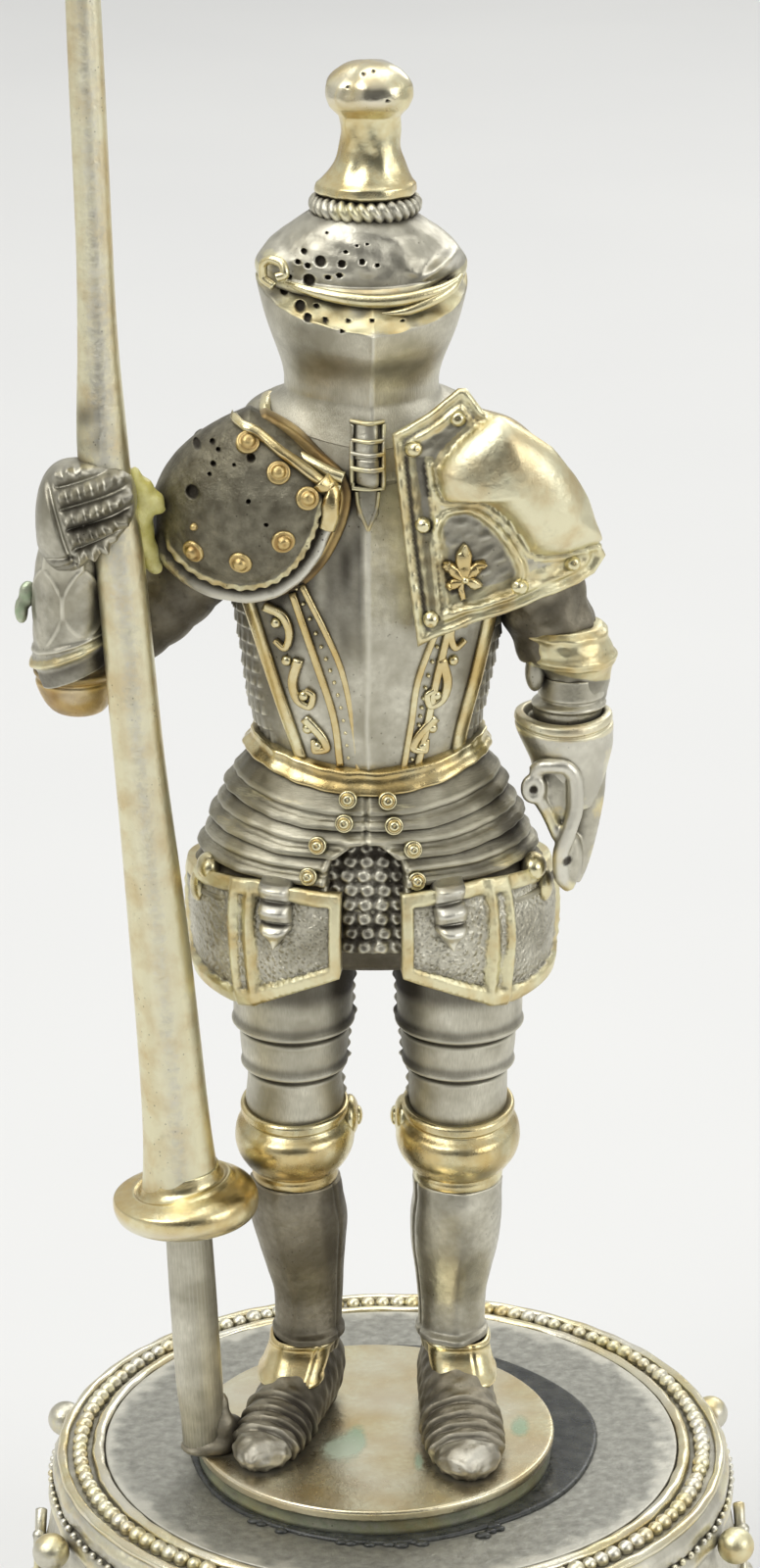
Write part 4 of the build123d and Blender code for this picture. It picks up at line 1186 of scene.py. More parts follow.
def breast_ornament():
    chest = Surface(capped(column([(h, x, y, w + 0.1, d + 0.02) for h, x, y, w, d in TRUNK], 100, 240)))
    lines = {"right": [[(-4.03, 38.6), (-3.11, 35.77), (-2.39, 33.37), (-2.11, 31.2)],
                       [(-3.65, 39.0), (-2.62, 36.88), (-1.98, 35.18), (-1.58, 33.04), (-1.33, 30.8)],
                       [(-5.95, 38.2), (-4.85, 34.72), (-3.72, 31.3)]],
             "left": [[(2.40, 37.6), (1.76, 34.66), (1.36, 32.51), (1.03, 31.1)],
                      [(1.99, 37.6), (1.02, 34.75), (0.79, 33.04), (0.46, 31.0)],
                      [(4.19, 38.1), (3.51, 34.93), (2.84, 32.2), (2.7, 31.4)]]}
    scrolls = [[(-5.17, 37.85), (-4.42, 37.56), (-4.15, 36.81), (-4.35, 36.15), (-4.75, 36.44)],
               [(-3.79, 35.75), (-4.04, 34.70), (-3.84, 33.95), (-3.37, 33.70), (-3.20, 34.20),
                (-3.52, 34.45)],
               [(-3.57, 33.17), (-2.89, 32.46), (-2.65, 31.91), (-3.13, 31.74), (-3.21, 32.25)]]
    buds = [(-4.72, 37.2), (-4.3, 35.6), (-3.6, 34.15), (-3.45, 32.7), (-3.05, 31.95)]
    for name, paths in lines.items():
        shapes = [strip(chest, paths[0], 0.15, 0.16), strip(chest, paths[1], 0.13, 0.15),
                  strip(chest, paths[2], 0.24, 0.16)]
        turned_over = [s if name == "right" else mirrored(s) for s in scrolls]
        shapes += [strip(chest, s, 0.19, 0.18, steps=34,
                         taper=lambda t: 1.1 - 0.55 * t) for s in turned_over]
        spots = buds if name == "right" else mirrored(buds)
        shapes += [stud(chest, x, h, 0.24, 0.2) for x, h in spots]
        middle = (hermite(paths[0], 15) + hermite(paths[1], 15)) / 2
        shapes += [stud(chest, x, h, 0.09, 0.14) for x, h in middle]
        points, faces = merged(shapes)
        make(name + "_breast_bands_chased", points, faces, GILT, name + "_breast_bands")


def chest_strap():
    over_keel = column([(h, x, y, w, d + 0.3) for h, x, y, w, d in TRUNK], 80, 200)
    chest = Surface(capped(over_keel), capped(helm_rings(COLLAR)))
    x = -0.98
    shapes = [strip(chest, [(x - 0.05, 45.75), (x - 0.05, 44.3)], 0.46, 0.22),
              strip(chest, [(x, 44.3), (x, 42.6), (x + 0.02, 41.5)], 0.44, 0.2,
                    taper=lambda t: min(1, 3.2 * (1.02 - t)))]
    leather = len(merged(shapes)[0])
    for h in (45.7, 45.0, 44.5, 43.95, 43.15):
        shapes.append(strip(chest, [(x - 0.62, h), (x, h - 0.04), (x + 0.58, h)], 0.1, 0.28))
    for s in (-1, 1):
        shapes.append(strip(chest, [(x + s * 0.58, 45.6), (x + s * 0.58, 43.15)], 0.09, 0.27))
        shapes.append(strip(chest, [(x + s * 0.44, 43.0), (x + s * 0.4, 42.6), (x + 0.02, 41.45)], 0.08,
                            0.24))
    points, faces = merged(shapes)
    piece = make("chest_strap_buckled", points, faces, SILVERED, "chest_strap")
    metalwork = (np.arange(len(points)) >= leather) * 1.0
    paint(piece, "gilt", (0.6 + 0.3 * lumps(points, 0.7)) * metalwork)
    paint(piece, "dark", 0.1)


# ------------------------------------------------------------------ helm
# Rings of the bevor: (h, half width, front, back).
BEVOR = [(46.8, 3.13, 3.24, 3.1), (47.2, 3.18, 3.32, 3.12), (47.84, 3.36, 3.6, 3.3),
         (49.02, 3.77, 4.2, 3.55), (49.86, 4.01, 4.45, 3.65), (50.95, 4.25, 4.7, 3.7)]
EDGE_DROP = 1.45       # how much lower the visor edge is at the prow than at the sides
PROW_SHIFT = 0.5       # the prow points a little towards the figure's left


def prowed(a, front, back):
    """Depth of a plan that is round behind and pointed in front."""
    nose = np.cos(a) - 0.42 * np.abs(np.sin(a)) * (1 - np.abs(np.sin(a))) ** 1.2
    return np.where(np.cos(a) > 0, -front * nose, -back * np.cos(a))


def helm_rings(rows, pointed=True):
    """Rings from rows of (h front, h side, half width, front, back) round the helm's axis."""
    s = hermite(rows, 26 * len(rows))
    angle = np.linspace(-math.pi, math.pi, 360, endpoint=False)
    a, _ = np.meshgrid(angle, s[:, 0])
    front = np.clip(np.cos(a), 0, 1) ** 1.1
    h = s[:, 0, None] * front + s[:, 1, None] * (1 - front)
    x = HELM_X - 0.1 + PROW_SHIFT * front * (s[:, 2, None] / 4.2) + s[:, 2, None] * np.sin(a)
    deep = prowed(a, s[:, 3, None], s[:, 4, None])
    if not pointed:
        deep = np.where(np.cos(a) > 0, -s[:, 3, None], -s[:, 4, None]) * np.cos(a)
    return np.stack([x, deep, GROUND + h], -1)


def pits(points, spots):
    """Depth 0..1 of small casting holes at (x, h, radius) spots on the front of a piece."""
    depth = np.zeros(len(points))
    for x, h, radius in spots:
        off = np.hypot(points[:, 0] - x, height(points) - h)
        depth = np.maximum(depth, smoothstep(radius * 1.15, radius * 0.7, off) * (points[:, 1] < 0.5))
    return depth


def pierced(points, spots, deep=0.3):
    """Points with the casting holes pushed in, and the blackening that goes with them."""
    depth = pits(points, spots)
    sunk = points.copy()
    sunk[:, 1] += deep * depth
    return sunk, depth


def visor():
    bevor = [(low, high, w + 0.03, f + 0.03, b + 0.03) for low, high, w, f, b in COLLAR[4:0:-1]]
    bevor += [(h - EDGE_DROP * smoothstep(47, 51, h), h, w, f, b) for h, w, f, b in BEVOR]
    top_f, top_s = bevor[-1][0], bevor[-1][1]
    bevor += [(top_f + 0.08, top_s + 0.1, 4.23, 4.66, 3.66), (top_f + 0.14, top_s + 0.16, 4.18, 4.55, 3.6),
              (top_f + 0.6, top_s + 0.2, 4.08, 3.9, 3.5), (top_f + 1.15, top_s + 0.3, 3.95, 3.2, 3.4),
              (top_f + 1.45, top_s + 0.34, 3.8, 2.75, 3.3), (top_f + 1.3, top_s + 0.2, 3.5, 2.5, 3.2)]
    grid = helm_rings(bevor)
    start = (len(bevor) - 7) / (len(bevor) - 1)
    ledge = np.repeat(smoothstep(start, start + 0.04, np.linspace(0, 1, len(grid))), 360)
    ledge = np.append(ledge, [0, 1])
    points, faces = capped(grid)
    h = height(points)
    ridge = np.exp(-np.abs(points[:, 0] + 0.72) / 0.16) * (points[:, 1] < -2) * (1 - ledge)
    points[:, 1] -= 0.1 * ridge
    points[:, 2] += 0.04 * ledge * lumps(points, 0.45) * (points[:, 1] < 0)
    holes = [(-4.3, 50.75, 0.15), (-3.65, 50.3, 0.2), (-3.35, 49.95, 0.16), (-2.65, 49.9, 0.1),
             (-2.0, 49.6, 0.08), (-1.75, 49.95, 0.07), (-0.8, 50.0, 0.07), (0.4, 49.95, 0.05),
             (-3.0, 50.35, 0.08)]
    points, black = pierced(points, holes, 0.25)
    piece = make("helm_bevor_visor", points, faces, BRUSHED, "helm_bevor")
    paint(piece, "gilt", 0.75 * ledge * (points[:, 1] < 1) * (0.85 + 0.35 * lumps(points, 0.8)))
    shade = bump(points[:, 0], -3.6, 0.9) * smoothstep(50.2, 49.5, h) * (points[:, 1] < 0)
    mottle_and_shade = 0.12 * ledge * (1 + lumps(points, 0.5))
    # Painted shade at the foot of the bevor on the figure's left side, matching the collar
    mottle_and_shade += 0.3 * smoothstep(0.0, 1.6, points[:, 0]) * smoothstep(46.2, 45.4, h)
    paint(piece, "dark", black + 0.25 * shade * smoothstep(46.5, 49, h) + mottle_and_shade)


def skull_cap():
    skull = [(50.3, 50.8, 3.5, 2.3, 3.3), (50.5, 51.05, 4.0, 2.8, 3.5), (50.62, 51.2, 4.22, 3.05, 3.66),
             (50.82, 51.45, 4.27, 3.14, 3.7), (51.0, 51.65, 4.24, 3.02, 3.66),
             (51.12, 51.8, 4.16, 2.86, 3.6), (51.45, 52.05, 3.98, 2.84, 3.5), (51.95, 52.4, 3.7, 2.78, 3.3),
             (52.5, 52.75, 3.28, 2.62, 3.05), (52.95, 53.02, 2.9, 2.42, 2.7), (53.3, 53.3, 2.5, 2.2, 2.35),
             (53.54, 53.54, 2.14, 2.0, 2.1)]
    grid = helm_rings(skull, pointed=False)
    grid[..., 0] -= 0.35 * np.clip(-grid[..., 1] / 3, 0, 1)
    points, faces = capped(grid)
    h = height(points)
    dents = 0.05 * lumps(points, 0.9) + 0.03 * lumps(points, 0.35, 4)
    points[:, 1] += dents * smoothstep(51.3, 51.7, h) * smoothstep(53.2, 52.8, h)
    ahead = points[:, 1] < 0
    left_ear = ahead * spot(points[:, 0], h, (-4.75, 51.85), (0.6, 0.42))
    level_h = h - 0.5 * (points[:, 0] - 2.0)
    right_ear = ahead * spot(points[:, 0], level_h, (2.1, 51.75), (0.8, 0.36))
    under_ear = ahead * spot(points[:, 0], level_h, (1.9, 51.05), (0.7, 0.22))
    points[:, 1] -= 0.55 * left_ear + 0.85 * right_ear - 0.6 * under_ear
    points[:, 2] += 0.14 * (left_ear + right_ear)
    holes = [(-3.5, 52.35, 0.11), (-3.75, 51.95, 0.1), (-3.35, 51.85, 0.11), (-2.85, 52.05, 0.21),
             (-3.3, 51.3, 0.22), (-2.55, 51.45, 0.1), (-2.0, 52.0, 0.15), (-2.1, 51.55, 0.11),
             (-1.85, 52.45, 0.07), (-1.2, 52.1, 0.12), (-0.6, 51.95, 0.08), (-1.4, 52.7, 0.05),
             (-2.6, 53.1, 0.05), (-4.1, 51.35, 0.1), (-1.0, 52.75, 0.05)]
    points, black = pierced(points, holes, 0.25)
    piece = make("helm_skull_cast", points, faces, SILVERED, "helm_skull")
    level = np.append(np.repeat(np.linspace(0, len(skull) - 1, len(grid)), grid.shape[1]), [0, 0])
    lip = bump(level, 3.3, 1.1) * (points[:, 1] < 1.2)
    paint(piece, "gilt", lip + 0.8 * left_ear + 0.5 * right_ear)
    # Painted highlight on the right ear lobe; the whole cap a little lighter
    paint(piece, "bright", 0.4 * right_ear + 0.16)
    shade = 0.5 * smoothstep(1.6, 1.0, level) + 0.8 * under_ear + 0.3 * smoothstep(53.2, 53.5, h)
    paint(piece, "dark", black + shade + 0.06 + 0.16 * lumps(points, 0.5))


def slit_trim():
    second = [(-0.8, -3.5, 50.15), (0.4, -3.5, 50.25), (1.5, -3.2, 50.6), (2.3, -2.7, 51.0),
              (2.75, -2.2, 51.45)]
    thick = (0.05, 0.17, 0.22, 0.22, 0.1)
    curl = [(-4.7, -2.2, 51.0), (-5.15, -2.0, 51.35), (-5.15, -2.05, 51.8), (-4.8, -2.3, 52.1),
            (-4.35, -2.55, 51.95), (-4.25, -2.7, 51.6), (-4.6, -2.7, 51.45)]
    rolls = [wire([(*place, r) for place, r in zip(second, thick)], 100, 14, flat=(0, 0, 1))]
    rolls.append(wire([(*place, 0.19) for place in curl], 70, 14, flat=(0, 1, 0)))
    points, faces = merged(rolls)
    piece = make("helm_slit_volutes", points, faces, GILT)
    paint(piece, "dark", 0.1 + 0.12 * lumps(points, 0.6))
    sag = [(-4.3, -2.3, 51.2, 0.08), (-3.2, -2.92, 50.95, 0.2), (-1.8, -3.34, 50.74, 0.26),
           (-0.6, -3.46, 50.66, 0.28), (0.6, -3.36, 50.76, 0.26), (1.8, -2.98, 51.0, 0.22),
           (2.6, -2.5, 51.35, 0.1)]
    points, faces = wire(sag, 120, 16, flat=(0, 0, 1))
    paint(make("helm_slit_band", points, faces, GILT), "dark", 0.24 + 0.16 * lumps(points, 0.6))


def torse():
    def rope(round_, across):
        return 0.13 * np.abs(np.sin(15 * round_ + 1.3 * np.sin(across))) - 0.05 + 0.03 * np.sin(5 * round_)

    ring = torus((-1.08, 0, GROUND + 53.86), 1.85, 0.36, 360, 24, rope)
    plug = capped(turned([(GROUND + 53.3, 1.9), (GROUND + 54.1, 1.75), (GROUND + 54.5, 1.5)], -1.08, 0, 10,
                         80))
    points, faces = merged([ring, plug])
    wreath = make("helm_torse_rope", points, faces, SILVERED, "helm_torse")
    paint(wreath, "gilt", 0.25 + 0.3 * lumps(points, 0.9))
    # Painted shade on the top of the plug, under the finial's flange
    crown = 0.4 * smoothstep(GROUND + 54.0, GROUND + 54.3, points[:, 2])
    paint(wreath, "dark", 0.26 + crown + 0.15 * lumps(points, 0.7))


def finial():
    profile = [(54.2, 1.5), (54.28, 1.85), (54.45, 2.0), (54.7, 1.97), (54.95, 1.78), (55.5, 1.47),
               (56.2, 1.26), (57.0, 1.22), (57.4, 1.24), (57.62, 1.38), (57.9, 1.62), (58.3, 1.76),
               (58.7, 1.72), (59.2, 1.38), (59.5, 0.85), (59.62, 0.1)]

    def beaten(a, z):
        spots = np.stack([1.7 * np.cos(a), 1.7 * np.sin(a), z], -1)
        ball_ = smoothstep(GROUND + 57.3, GROUND + 57.9, z)
        return (0.05 + 0.09 * ball_) * lumps(spots, 1.25, 3) + 0.03 * lumps(spots, 0.5, 5)

    grid = turned([(GROUND + h, r) for h, r in profile], 0, 0, 170, 160, beaten)
    lean = hermite([(54.2, -1.05), (56, -0.9), (58.4, -0.9), (60, -0.9)], 80)
    grid[..., 0] += np.interp(height(grid), lean[:, 0], lean[:, 1])
    grid[..., 1] *= np.interp(height(grid), (57, 58.5), (1.0, 0.95))
    points, faces = capped(grid)
    holes = [(-1.15, 59.25, 0.07), (-0.75, 59.35, 0.06), (-1.75, 58.75, 0.05), (-0.2, 58.3, 0.06)]
    points, black = pierced(points, holes, 0.1)
    piece = make("helm_finial_ball", points, faces, GILT, "helm_finial")
    h = height(points)
    # Painted shade at the foot of the ball, where it sits in the torse; black marks the casting holes
    paint(piece, "dark", black + 0.3 * smoothstep(54.4, 54.2, h) + 0.1 * lumps(points, 0.8))
    # Painted highlight on the top of the ball
    paint(piece, "bright", 0.55 * smoothstep(57.6, 58.6, h) * (0.6 + 0.7 * lumps(points, 1.1, 5)))


# ------------------------------------------------------------------ shoulders
# Outlines of the shoulder plates and the fist are (x, h) points as seen from the front, measured on
# the photo through the fitted camera and then changed where the render showed a difference.
PAULDRON_R = [(-5.71, 46.12), (-6.99, 45.44), (-8.21, 44.54), (-9.19, 43.37), (-9.72, 42.0), (-9.76, 40.62),
              (-9.3, 39.6), (-8.2, 38.75), (-6.92, 38.34), (-5.94, 38.30), (-5.05, 38.51), (-4.23, 38.93),
              (-3.42, 39.78), (-2.84, 40.78), (-2.40, 41.9), (-2.2, 43.0), (-2.5, 43.9), (-3.4, 44.6),
              (-4.5, 45.5)]


def right_pauldron():
    holes = [(-7.85, 44.62, 0.16), (-7.20, 44.85, 0.1), (-6.95, 44.64, 0.08), (-7.15, 44.11, 0.1),
             (-7.30, 43.71, 0.07), (-8.0, 42.92, 0.26), (-5.02, 41.93, 0.08), (-5.62, 44.52, 0.16),
             (-5.73, 42.85, 0.09), (-6.3, 44.2, 0.06)]

    def relief(x, h, r):
        rubbed = 0.02 * lumps_flat(x, h, 0.6)
        lower = smoothstep(42.4, 41.2, h - 0.35 * (x + 6))
        beaded = 0.75 + 0.25 * np.sin(38 * np.arctan2(h - 42.2, x + 6))
        groove = -0.2 * bump(r, 0.875, 0.022)
        inner = 0.2 * bump(r, 0.825, 0.032) * beaded
        roll = 0.36 * bump(r, 0.94, 0.05)
        return rubbed + lower * (groove + inner + roll)

    grid = shell(PAULDRON_R, -1.3, 2.35, 4.4, relief, rings=260, cols=420, squareness=1.8)
    grid[..., 1] -= 0.3 * (grid[..., 0] + 9.7)
    points, faces = capped(grid)
    points, black = pierced(points, holes, 0.3)
    piece = make("right_pauldron_dome", points, faces, SMOKED, "right_pauldron")
    t = np.linspace(0.02, math.pi - 0.02, 260)
    r = np.concatenate([np.repeat(np.sin(t), 420), [0, 0]])
    ahead = np.concatenate([np.repeat(np.cos(t) > -0.1, 420), [1, 0]])
    x, h = points[:, 0], height(points)
    lower = smoothstep(42.4, 41.2, h - 0.35 * (x + 6)) * ahead
    paint(piece, "gilt", lower * (bump(r, 0.825, 0.04) + 0.9 * bump(r, 0.95, 0.05) * smoothstep(-7, -9, x)))
    paint(piece, "bright", lower * bump(r, 0.94, 0.055) * smoothstep(-9, -7, x))
    plain = 1 - lower * bump(r, 0.94, 0.06)
    paint(piece, "dark", black + 0.7 * lower * bump(r, 0.88, 0.022)
          + plain * (0.1 + 0.12 * lumps(points, 0.5)))

    dome = Surface((points, faces))
    border = [(-6.3, 45.75), (-5.3, 45.3), (-4.4, 44.65), (-3.5, 44.0), (-2.75, 43.45)]
    shapes = [strip(dome, border, 0.16, 0.28)]
    tongue = [(-2.9, 43.6), (-2.5, 43.1), (-2.45, 42.4), (-2.6, 41.7)]
    shapes.append(strip(dome, tongue, 0.3, 0.4, taper=lambda t: 1.1 - 0.5 * t))
    make("right_pauldron_border", *merged(shapes), GILT)

    def edge_beads(x, h, r):
        return 0.12 * bump(r, 0.955, 0.03) - 0.1 * bump(r, 0.9, 0.02)

    wider = [(x + 0.62, h - 0.12) for x, h in PAULDRON_R]
    grid = shell(wider, -0.9, 1.9, 3.4, edge_beads, rings=120, cols=260, squareness=1.9)
    grid[..., 1] -= 0.3 * (grid[..., 0] + 9.7)
    points, faces = capped(grid)
    under = make("right_pauldron_under_plate", points, faces, RUDDY)
    paint(under, "dark", 0.3 + 0.2 * lumps(points, 0.9))
    spots = ((-5.75, 45.09), (-4.52, 43.98), (-3.37, 43.00), (-4.35, 41.21), (-6.08, 40.21), (-8.00, 40.46))
    heads = [stud(dome, x, h, 0.34, 0.36, collar=1, dimple=0.1) for x, h in spots]
    heads.append(stud(dome, -7.94, 41.54, 0.17, 0.2))
    make("pauldron_rivet_heads", *merged(heads), RUDDY, "pauldron_rivets")


GRAND = [(0.11, 45.61), (0.57, 41.15), (1.09, 36.93), (1.65, 37.28), (3.27, 37.95), (4.48, 38.28),
         (5.68, 38.71), (7.29, 39.22), (7.92, 39.55), (8.36, 40.22), (7.85, 41.31), (7.5, 42.72),
         (6.9, 43.87), (6.05, 45.03), (4.80, 45.93), (4.00, 46.34), (3.52, 46.50), (2.88, 47.33),
         (2.56, 47.33), (1.4, 46.4)]
GRAND_DOME = [(1.77, 44.3), (2.06, 43.1), (2.81, 43.1), (3.61, 42.93), (4.41, 42.26), (4.98, 41.44),
              (5.45, 40.75), (6.4, 40.55), (7.5, 40.75), (8.15, 41.0), (7.85, 41.8), (7.5, 42.9),
              (6.9, 44.0), (6.05, 45.1), (4.8, 46.0), (4.0, 46.4), (3.3, 45.95), (2.4, 45.15)]
GRAND_ARCH = [(1.78, 41.3), (1.95, 42.0), (2.3, 42.4), (2.91, 42.5), (3.75, 41.95), (4.45, 41.03),
              (4.9, 39.95), (4.8, 39.35), (2.0, 38.45)]


def grand_depth(x, h):
    """Where the grandguard's plate lies: proud at the breast, falling back over the shoulder."""
    return -4.75 + 0.045 * (x - 2.0) ** 2 * (1 if x > 2 else 1.6) + 0.05 * max(0.0, h - 44.3) ** 2


def grandguard():
    sheet = Sheet(grand_depth)
    dome = hermite(GRAND_DOME + GRAND_DOME[:1], 90)[:-1]
    arch = hermite(GRAND_ARCH, 60)

    def part(polygon, x, h):
        """How far a point is inside a polygon; negative outside."""
        flat = np.stack([x, h], 1)
        gap = edge_distance(polygon, flat)
        return np.where(inside(polygon, flat), gap, -gap)

    def fields(x, h):
        return part(dome, x, h), part(arch, x, h)

    middle, angle, reach = around(GRAND_DOME, 240)

    def swollen(x, h):
        """1 at the dome's middle, 0 on its outline, with no crease between."""
        off_x, off_h = x - middle[0], h - middle[1]
        share = np.hypot(off_x, off_h) / np.interp(np.arctan2(off_h, off_x), angle, reach,
                                                   period=2 * math.pi)
        return np.sqrt(np.clip(1 - share ** 2.4, 0, 1))

    def relief(d, x, h):
        on_dome, on_arch = fields(x, h)
        swell = 1.5 * swollen(x, h)
        rim = 0.2 * bump(d, 0.16, 0.14) + 0.12 * bump(d, 0.62, 0.1) + 0.05 * smoothstep(0.2, 0.6, d)
        left = 0.16 * bump(x - 0.115 * (45.6 - h), 1.38, 0.1) * (h > 38.4) * (h < 44.6)
        arch_edge = 0.2 * bump(on_arch, -0.16, 0.13)
        recess = -0.12 * smoothstep(-0.05, 0.1, on_arch)
        dome_edge = 0.16 * bump(on_dome, -0.16, 0.11) * (h < 43.6)
        grain = 0.03 * lumps_flat(x, h, 0.3, 3) * (on_dome < -0.1)
        return 0.45 + swell + rim * (on_dome < 0.05) + left + arch_edge + recess + dome_edge + grain

    points, faces, facts = patch(sheet, GRAND, relief, spacing=0.1, sink=0.6)
    piece = make("left_grandguard_chased", points, faces, SILVERED, "left_grandguard")
    d, x, h = facts.T
    on_dome, on_arch = fields(x, h)
    border = np.maximum(bump(d, 0.16, 0.2), bump(d, 0.64, 0.13)) * (on_dome < 0)
    left = bump(x - 0.115 * (45.6 - h), 1.38, 0.17) * (h > 38.4) * (h < 44.8)
    lower = smoothstep(39.75, 39.55, h - 0.27 * (x - 4.6)) * (x > 1.6)
    gilt = np.maximum.reduce([smoothstep(-0.3, -0.2, on_dome), bump(on_arch, -0.16, 0.2), border, left,
                              0.6 * lower])
    paint(piece, "gilt", gilt + 0.3 + 0.12 * lumps(points, 1.0))
    # Painted highlight on the middle of the dome
    paint(piece, "bright", 0.18 * smoothstep(0.0, 0.5, on_dome))
    gap = bump(on_dome, -0.42, 0.14) * (h > 43.2) + bump(d, 0.42, 0.07) * (x < 2) * (h > 38)
    between = smoothstep(0.28, 0.4, d) * (x < 1.22 + 0.115 * (45.6 - h)) * (h > 37.6) * (h < 44.8)
    paint(piece, "dark", 0.34 * smoothstep(0.0, 0.15, on_arch) + 0.5 * gap + 0.62 * between)

    face = Surface((points, faces))
    leaves = []

    def leaf(t):
        return 0.35 + 0.9 * math.sin(math.pi * min(1, t + 0.05)) if t < 0.96 else 0.12

    for turn, size in ((90, 1.0), (38, 0.82), (142, 0.82), (-18, 0.6), (198, 0.6)):
        c, s = math.cos(math.radians(turn)), math.sin(math.radians(turn))
        path = [(2.85 + c * r * size, 39.75 + s * r * size * 1.15) for r in (0.1, 0.55, 1.0, 1.3)]
        leaves.append(strip(face, path, 0.27 * size, 0.34, steps=16, taper=leaf))
    leaves.append(strip(face, [(2.85, 39.9), (2.75, 39.3), (2.85, 38.9)], 0.12, 0.3, steps=16))
    leaves.append(stud(face, 2.85, 39.78, 0.22, 0.5))
    make("grandguard_leaf_spray", *merged(leaves), GILT, "grandguard_ornament")
    spots = ((0.86, 45.10), (1.22, 42.02), (1.56, 38.14), (2.59, 46.31), (7.23, 40.1), (5.07, 39.40))
    heads = [stud(face, x, h, 0.34, 0.36, collar=0, dimple=0.1) for x, h in spots]
    make("grandguard_rivet_heads", *merged(heads), GILT, "grandguard_rivets")


def left_pauldron():
    outline = [(3.5, 45.4), (1.4, 44.6), (0.9, 42.5), (2.0, 40.4), (4.6, 39.6), (6.6, 39.9), (7.4, 40.9),
               (7.05, 42.4), (6.2, 43.8), (5.0, 44.9)]

    def hammered(x, h, r):
        return 0.05 * lumps_flat(x, h, 1.0)

    points, faces = capped(shell(outline, -0.4, 2.4, 3.9, hammered, 120, 200, 2.2))
    piece = make("left_pauldron_dome", points, faces, GILT, "left_pauldron")
    # Painted shade, darker towards the bottom of the dome
    paint(piece, "dark", 0.25 * smoothstep(40.5, 39, height(points)))


# ------------------------------------------------------------------ arms
def left_upper_arm():
    def rough(a, h):
        return 0.09 * lumps_round(a, h, 2, 0.7)

    upper = [(35.0, 6.6, -0.1, 1.45, 1.6), (36.0, 6.6, -0.1, 1.75, 1.75), (36.9, 6.4, -0.1, 1.9, 1.9),
             (37.9, 6.15, -0.1, 1.82, 1.9), (39.5, 5.7, -0.1, 1.9, 1.9), (40.3, 5.4, 0, 1.8, 1.8)]
    points, faces = capped(column(upper, 70, 110, rough))
    piece = make("left_upper_arm_cast", points, faces, OXIDISED, "left_upper_arm")
    paint(piece, "dark", 0.32 + 0.25 * lumps(points, 0.7))


def left_couter():
    def ribs(a, h):
        ribbed = bump(h, 36.15, 0.16) + bump(h, 35.15, 0.16)
        return 0.13 * ribbed + 0.04 * lumps_round(a, h, 2, 0.5)

    cup = [(33.2, 7.5, -0.25, 1.3, 1.35), (33.35, 7.52, -0.25, 1.4, 1.42), (33.9, 7.6, -0.25, 1.44, 1.46),
           (34.4, 7.58, -0.25, 1.5, 1.54), (34.75, 7.5, -0.25, 1.66, 1.76),
           (34.95, 7.42, -0.25, 1.82, 1.95), (35.5, 7.3, -0.25, 1.82, 1.95),
           (36.1, 7.05, -0.22, 1.78, 1.85), (36.4, 6.95, -0.2, 1.72, 1.8), (36.5, 6.9, -0.2, 1.4, 1.5)]
    wing = ball((5.9, -1.1, GROUND + 34.6), (0.42, 0.5, 0.85), 18, 24)
    shell_ = capped(column(cup, 110, 130, ribs))
    points, faces = merged([shell_, wing])
    piece = make("left_couter_ribbed", points, faces, SILVERED, "left_couter")
    h = height(points) + 0.25 * (points[:, 0] - 7.0)
    cop = smoothstep(34.55, 34.8, h)
    paint(piece, "gilt", 0.9 * cop + 0.1)
    paint(piece, "dark", 0.06 * cop + 0.34 * (1 - cop) + 0.12 * lumps(points, 0.6))


def left_forearm():
    fore = [(32.2, 7.25, -0.55, 1.3, 1.35), (32.9, 7.3, -0.5, 1.45, 1.5), (33.5, 7.45, -0.4, 1.4, 1.5),
            (34.3, 7.5, -0.3, 1.4, 1.5)]

    def bands(a, h):
        return 0.12 * bump(h, 33.1, 0.12) - 0.08 * bump(h, 33.35, 0.08)

    make("left_forearm_banded", *capped(column(fore, 50, 110, bands)), SILVERED, "left_forearm")


def left_gauntlet_cuff():
    cuff = [(28.9, 7.4, -0.85, 1.2, 1.1), (29.3, 7.36, -0.85, 1.36, 1.25), (29.9, 7.38, -0.8, 1.5, 1.4),
            (30.6, 7.40, -0.75, 1.62, 1.55), (31.3, 7.33, -0.7, 1.85, 1.75), (31.9, 7.2, -0.65, 2.0, 1.9),
            (32.25, 7.15, -0.62, 2.05, 1.95), (32.35, 7.14, -0.62, 1.96, 1.86),
            (32.5, 7.12, -0.6, 2.05, 1.95), (32.72, 7.12, -0.6, 2.0, 1.9), (32.8, 7.13, -0.6, 1.75, 1.65),
            (32.5, 7.15, -0.6, 1.5, 1.4)]
    points, faces = capped(dipped(column(cuff, 110, 130), 0.25, -0.6, 2.0))
    piece = make("left_gauntlet_bell", points, faces, SILVERED, "left_gauntlet_cuff")
    h = height(points)
    paint(piece, "gilt", 0.75 * smoothstep(31.9, 32.2, h) + 0.36 + 0.25 * lumps(points, 1.3))
    # Painted sheen: the whole bell lightened
    paint(piece, "bright", 0.35)


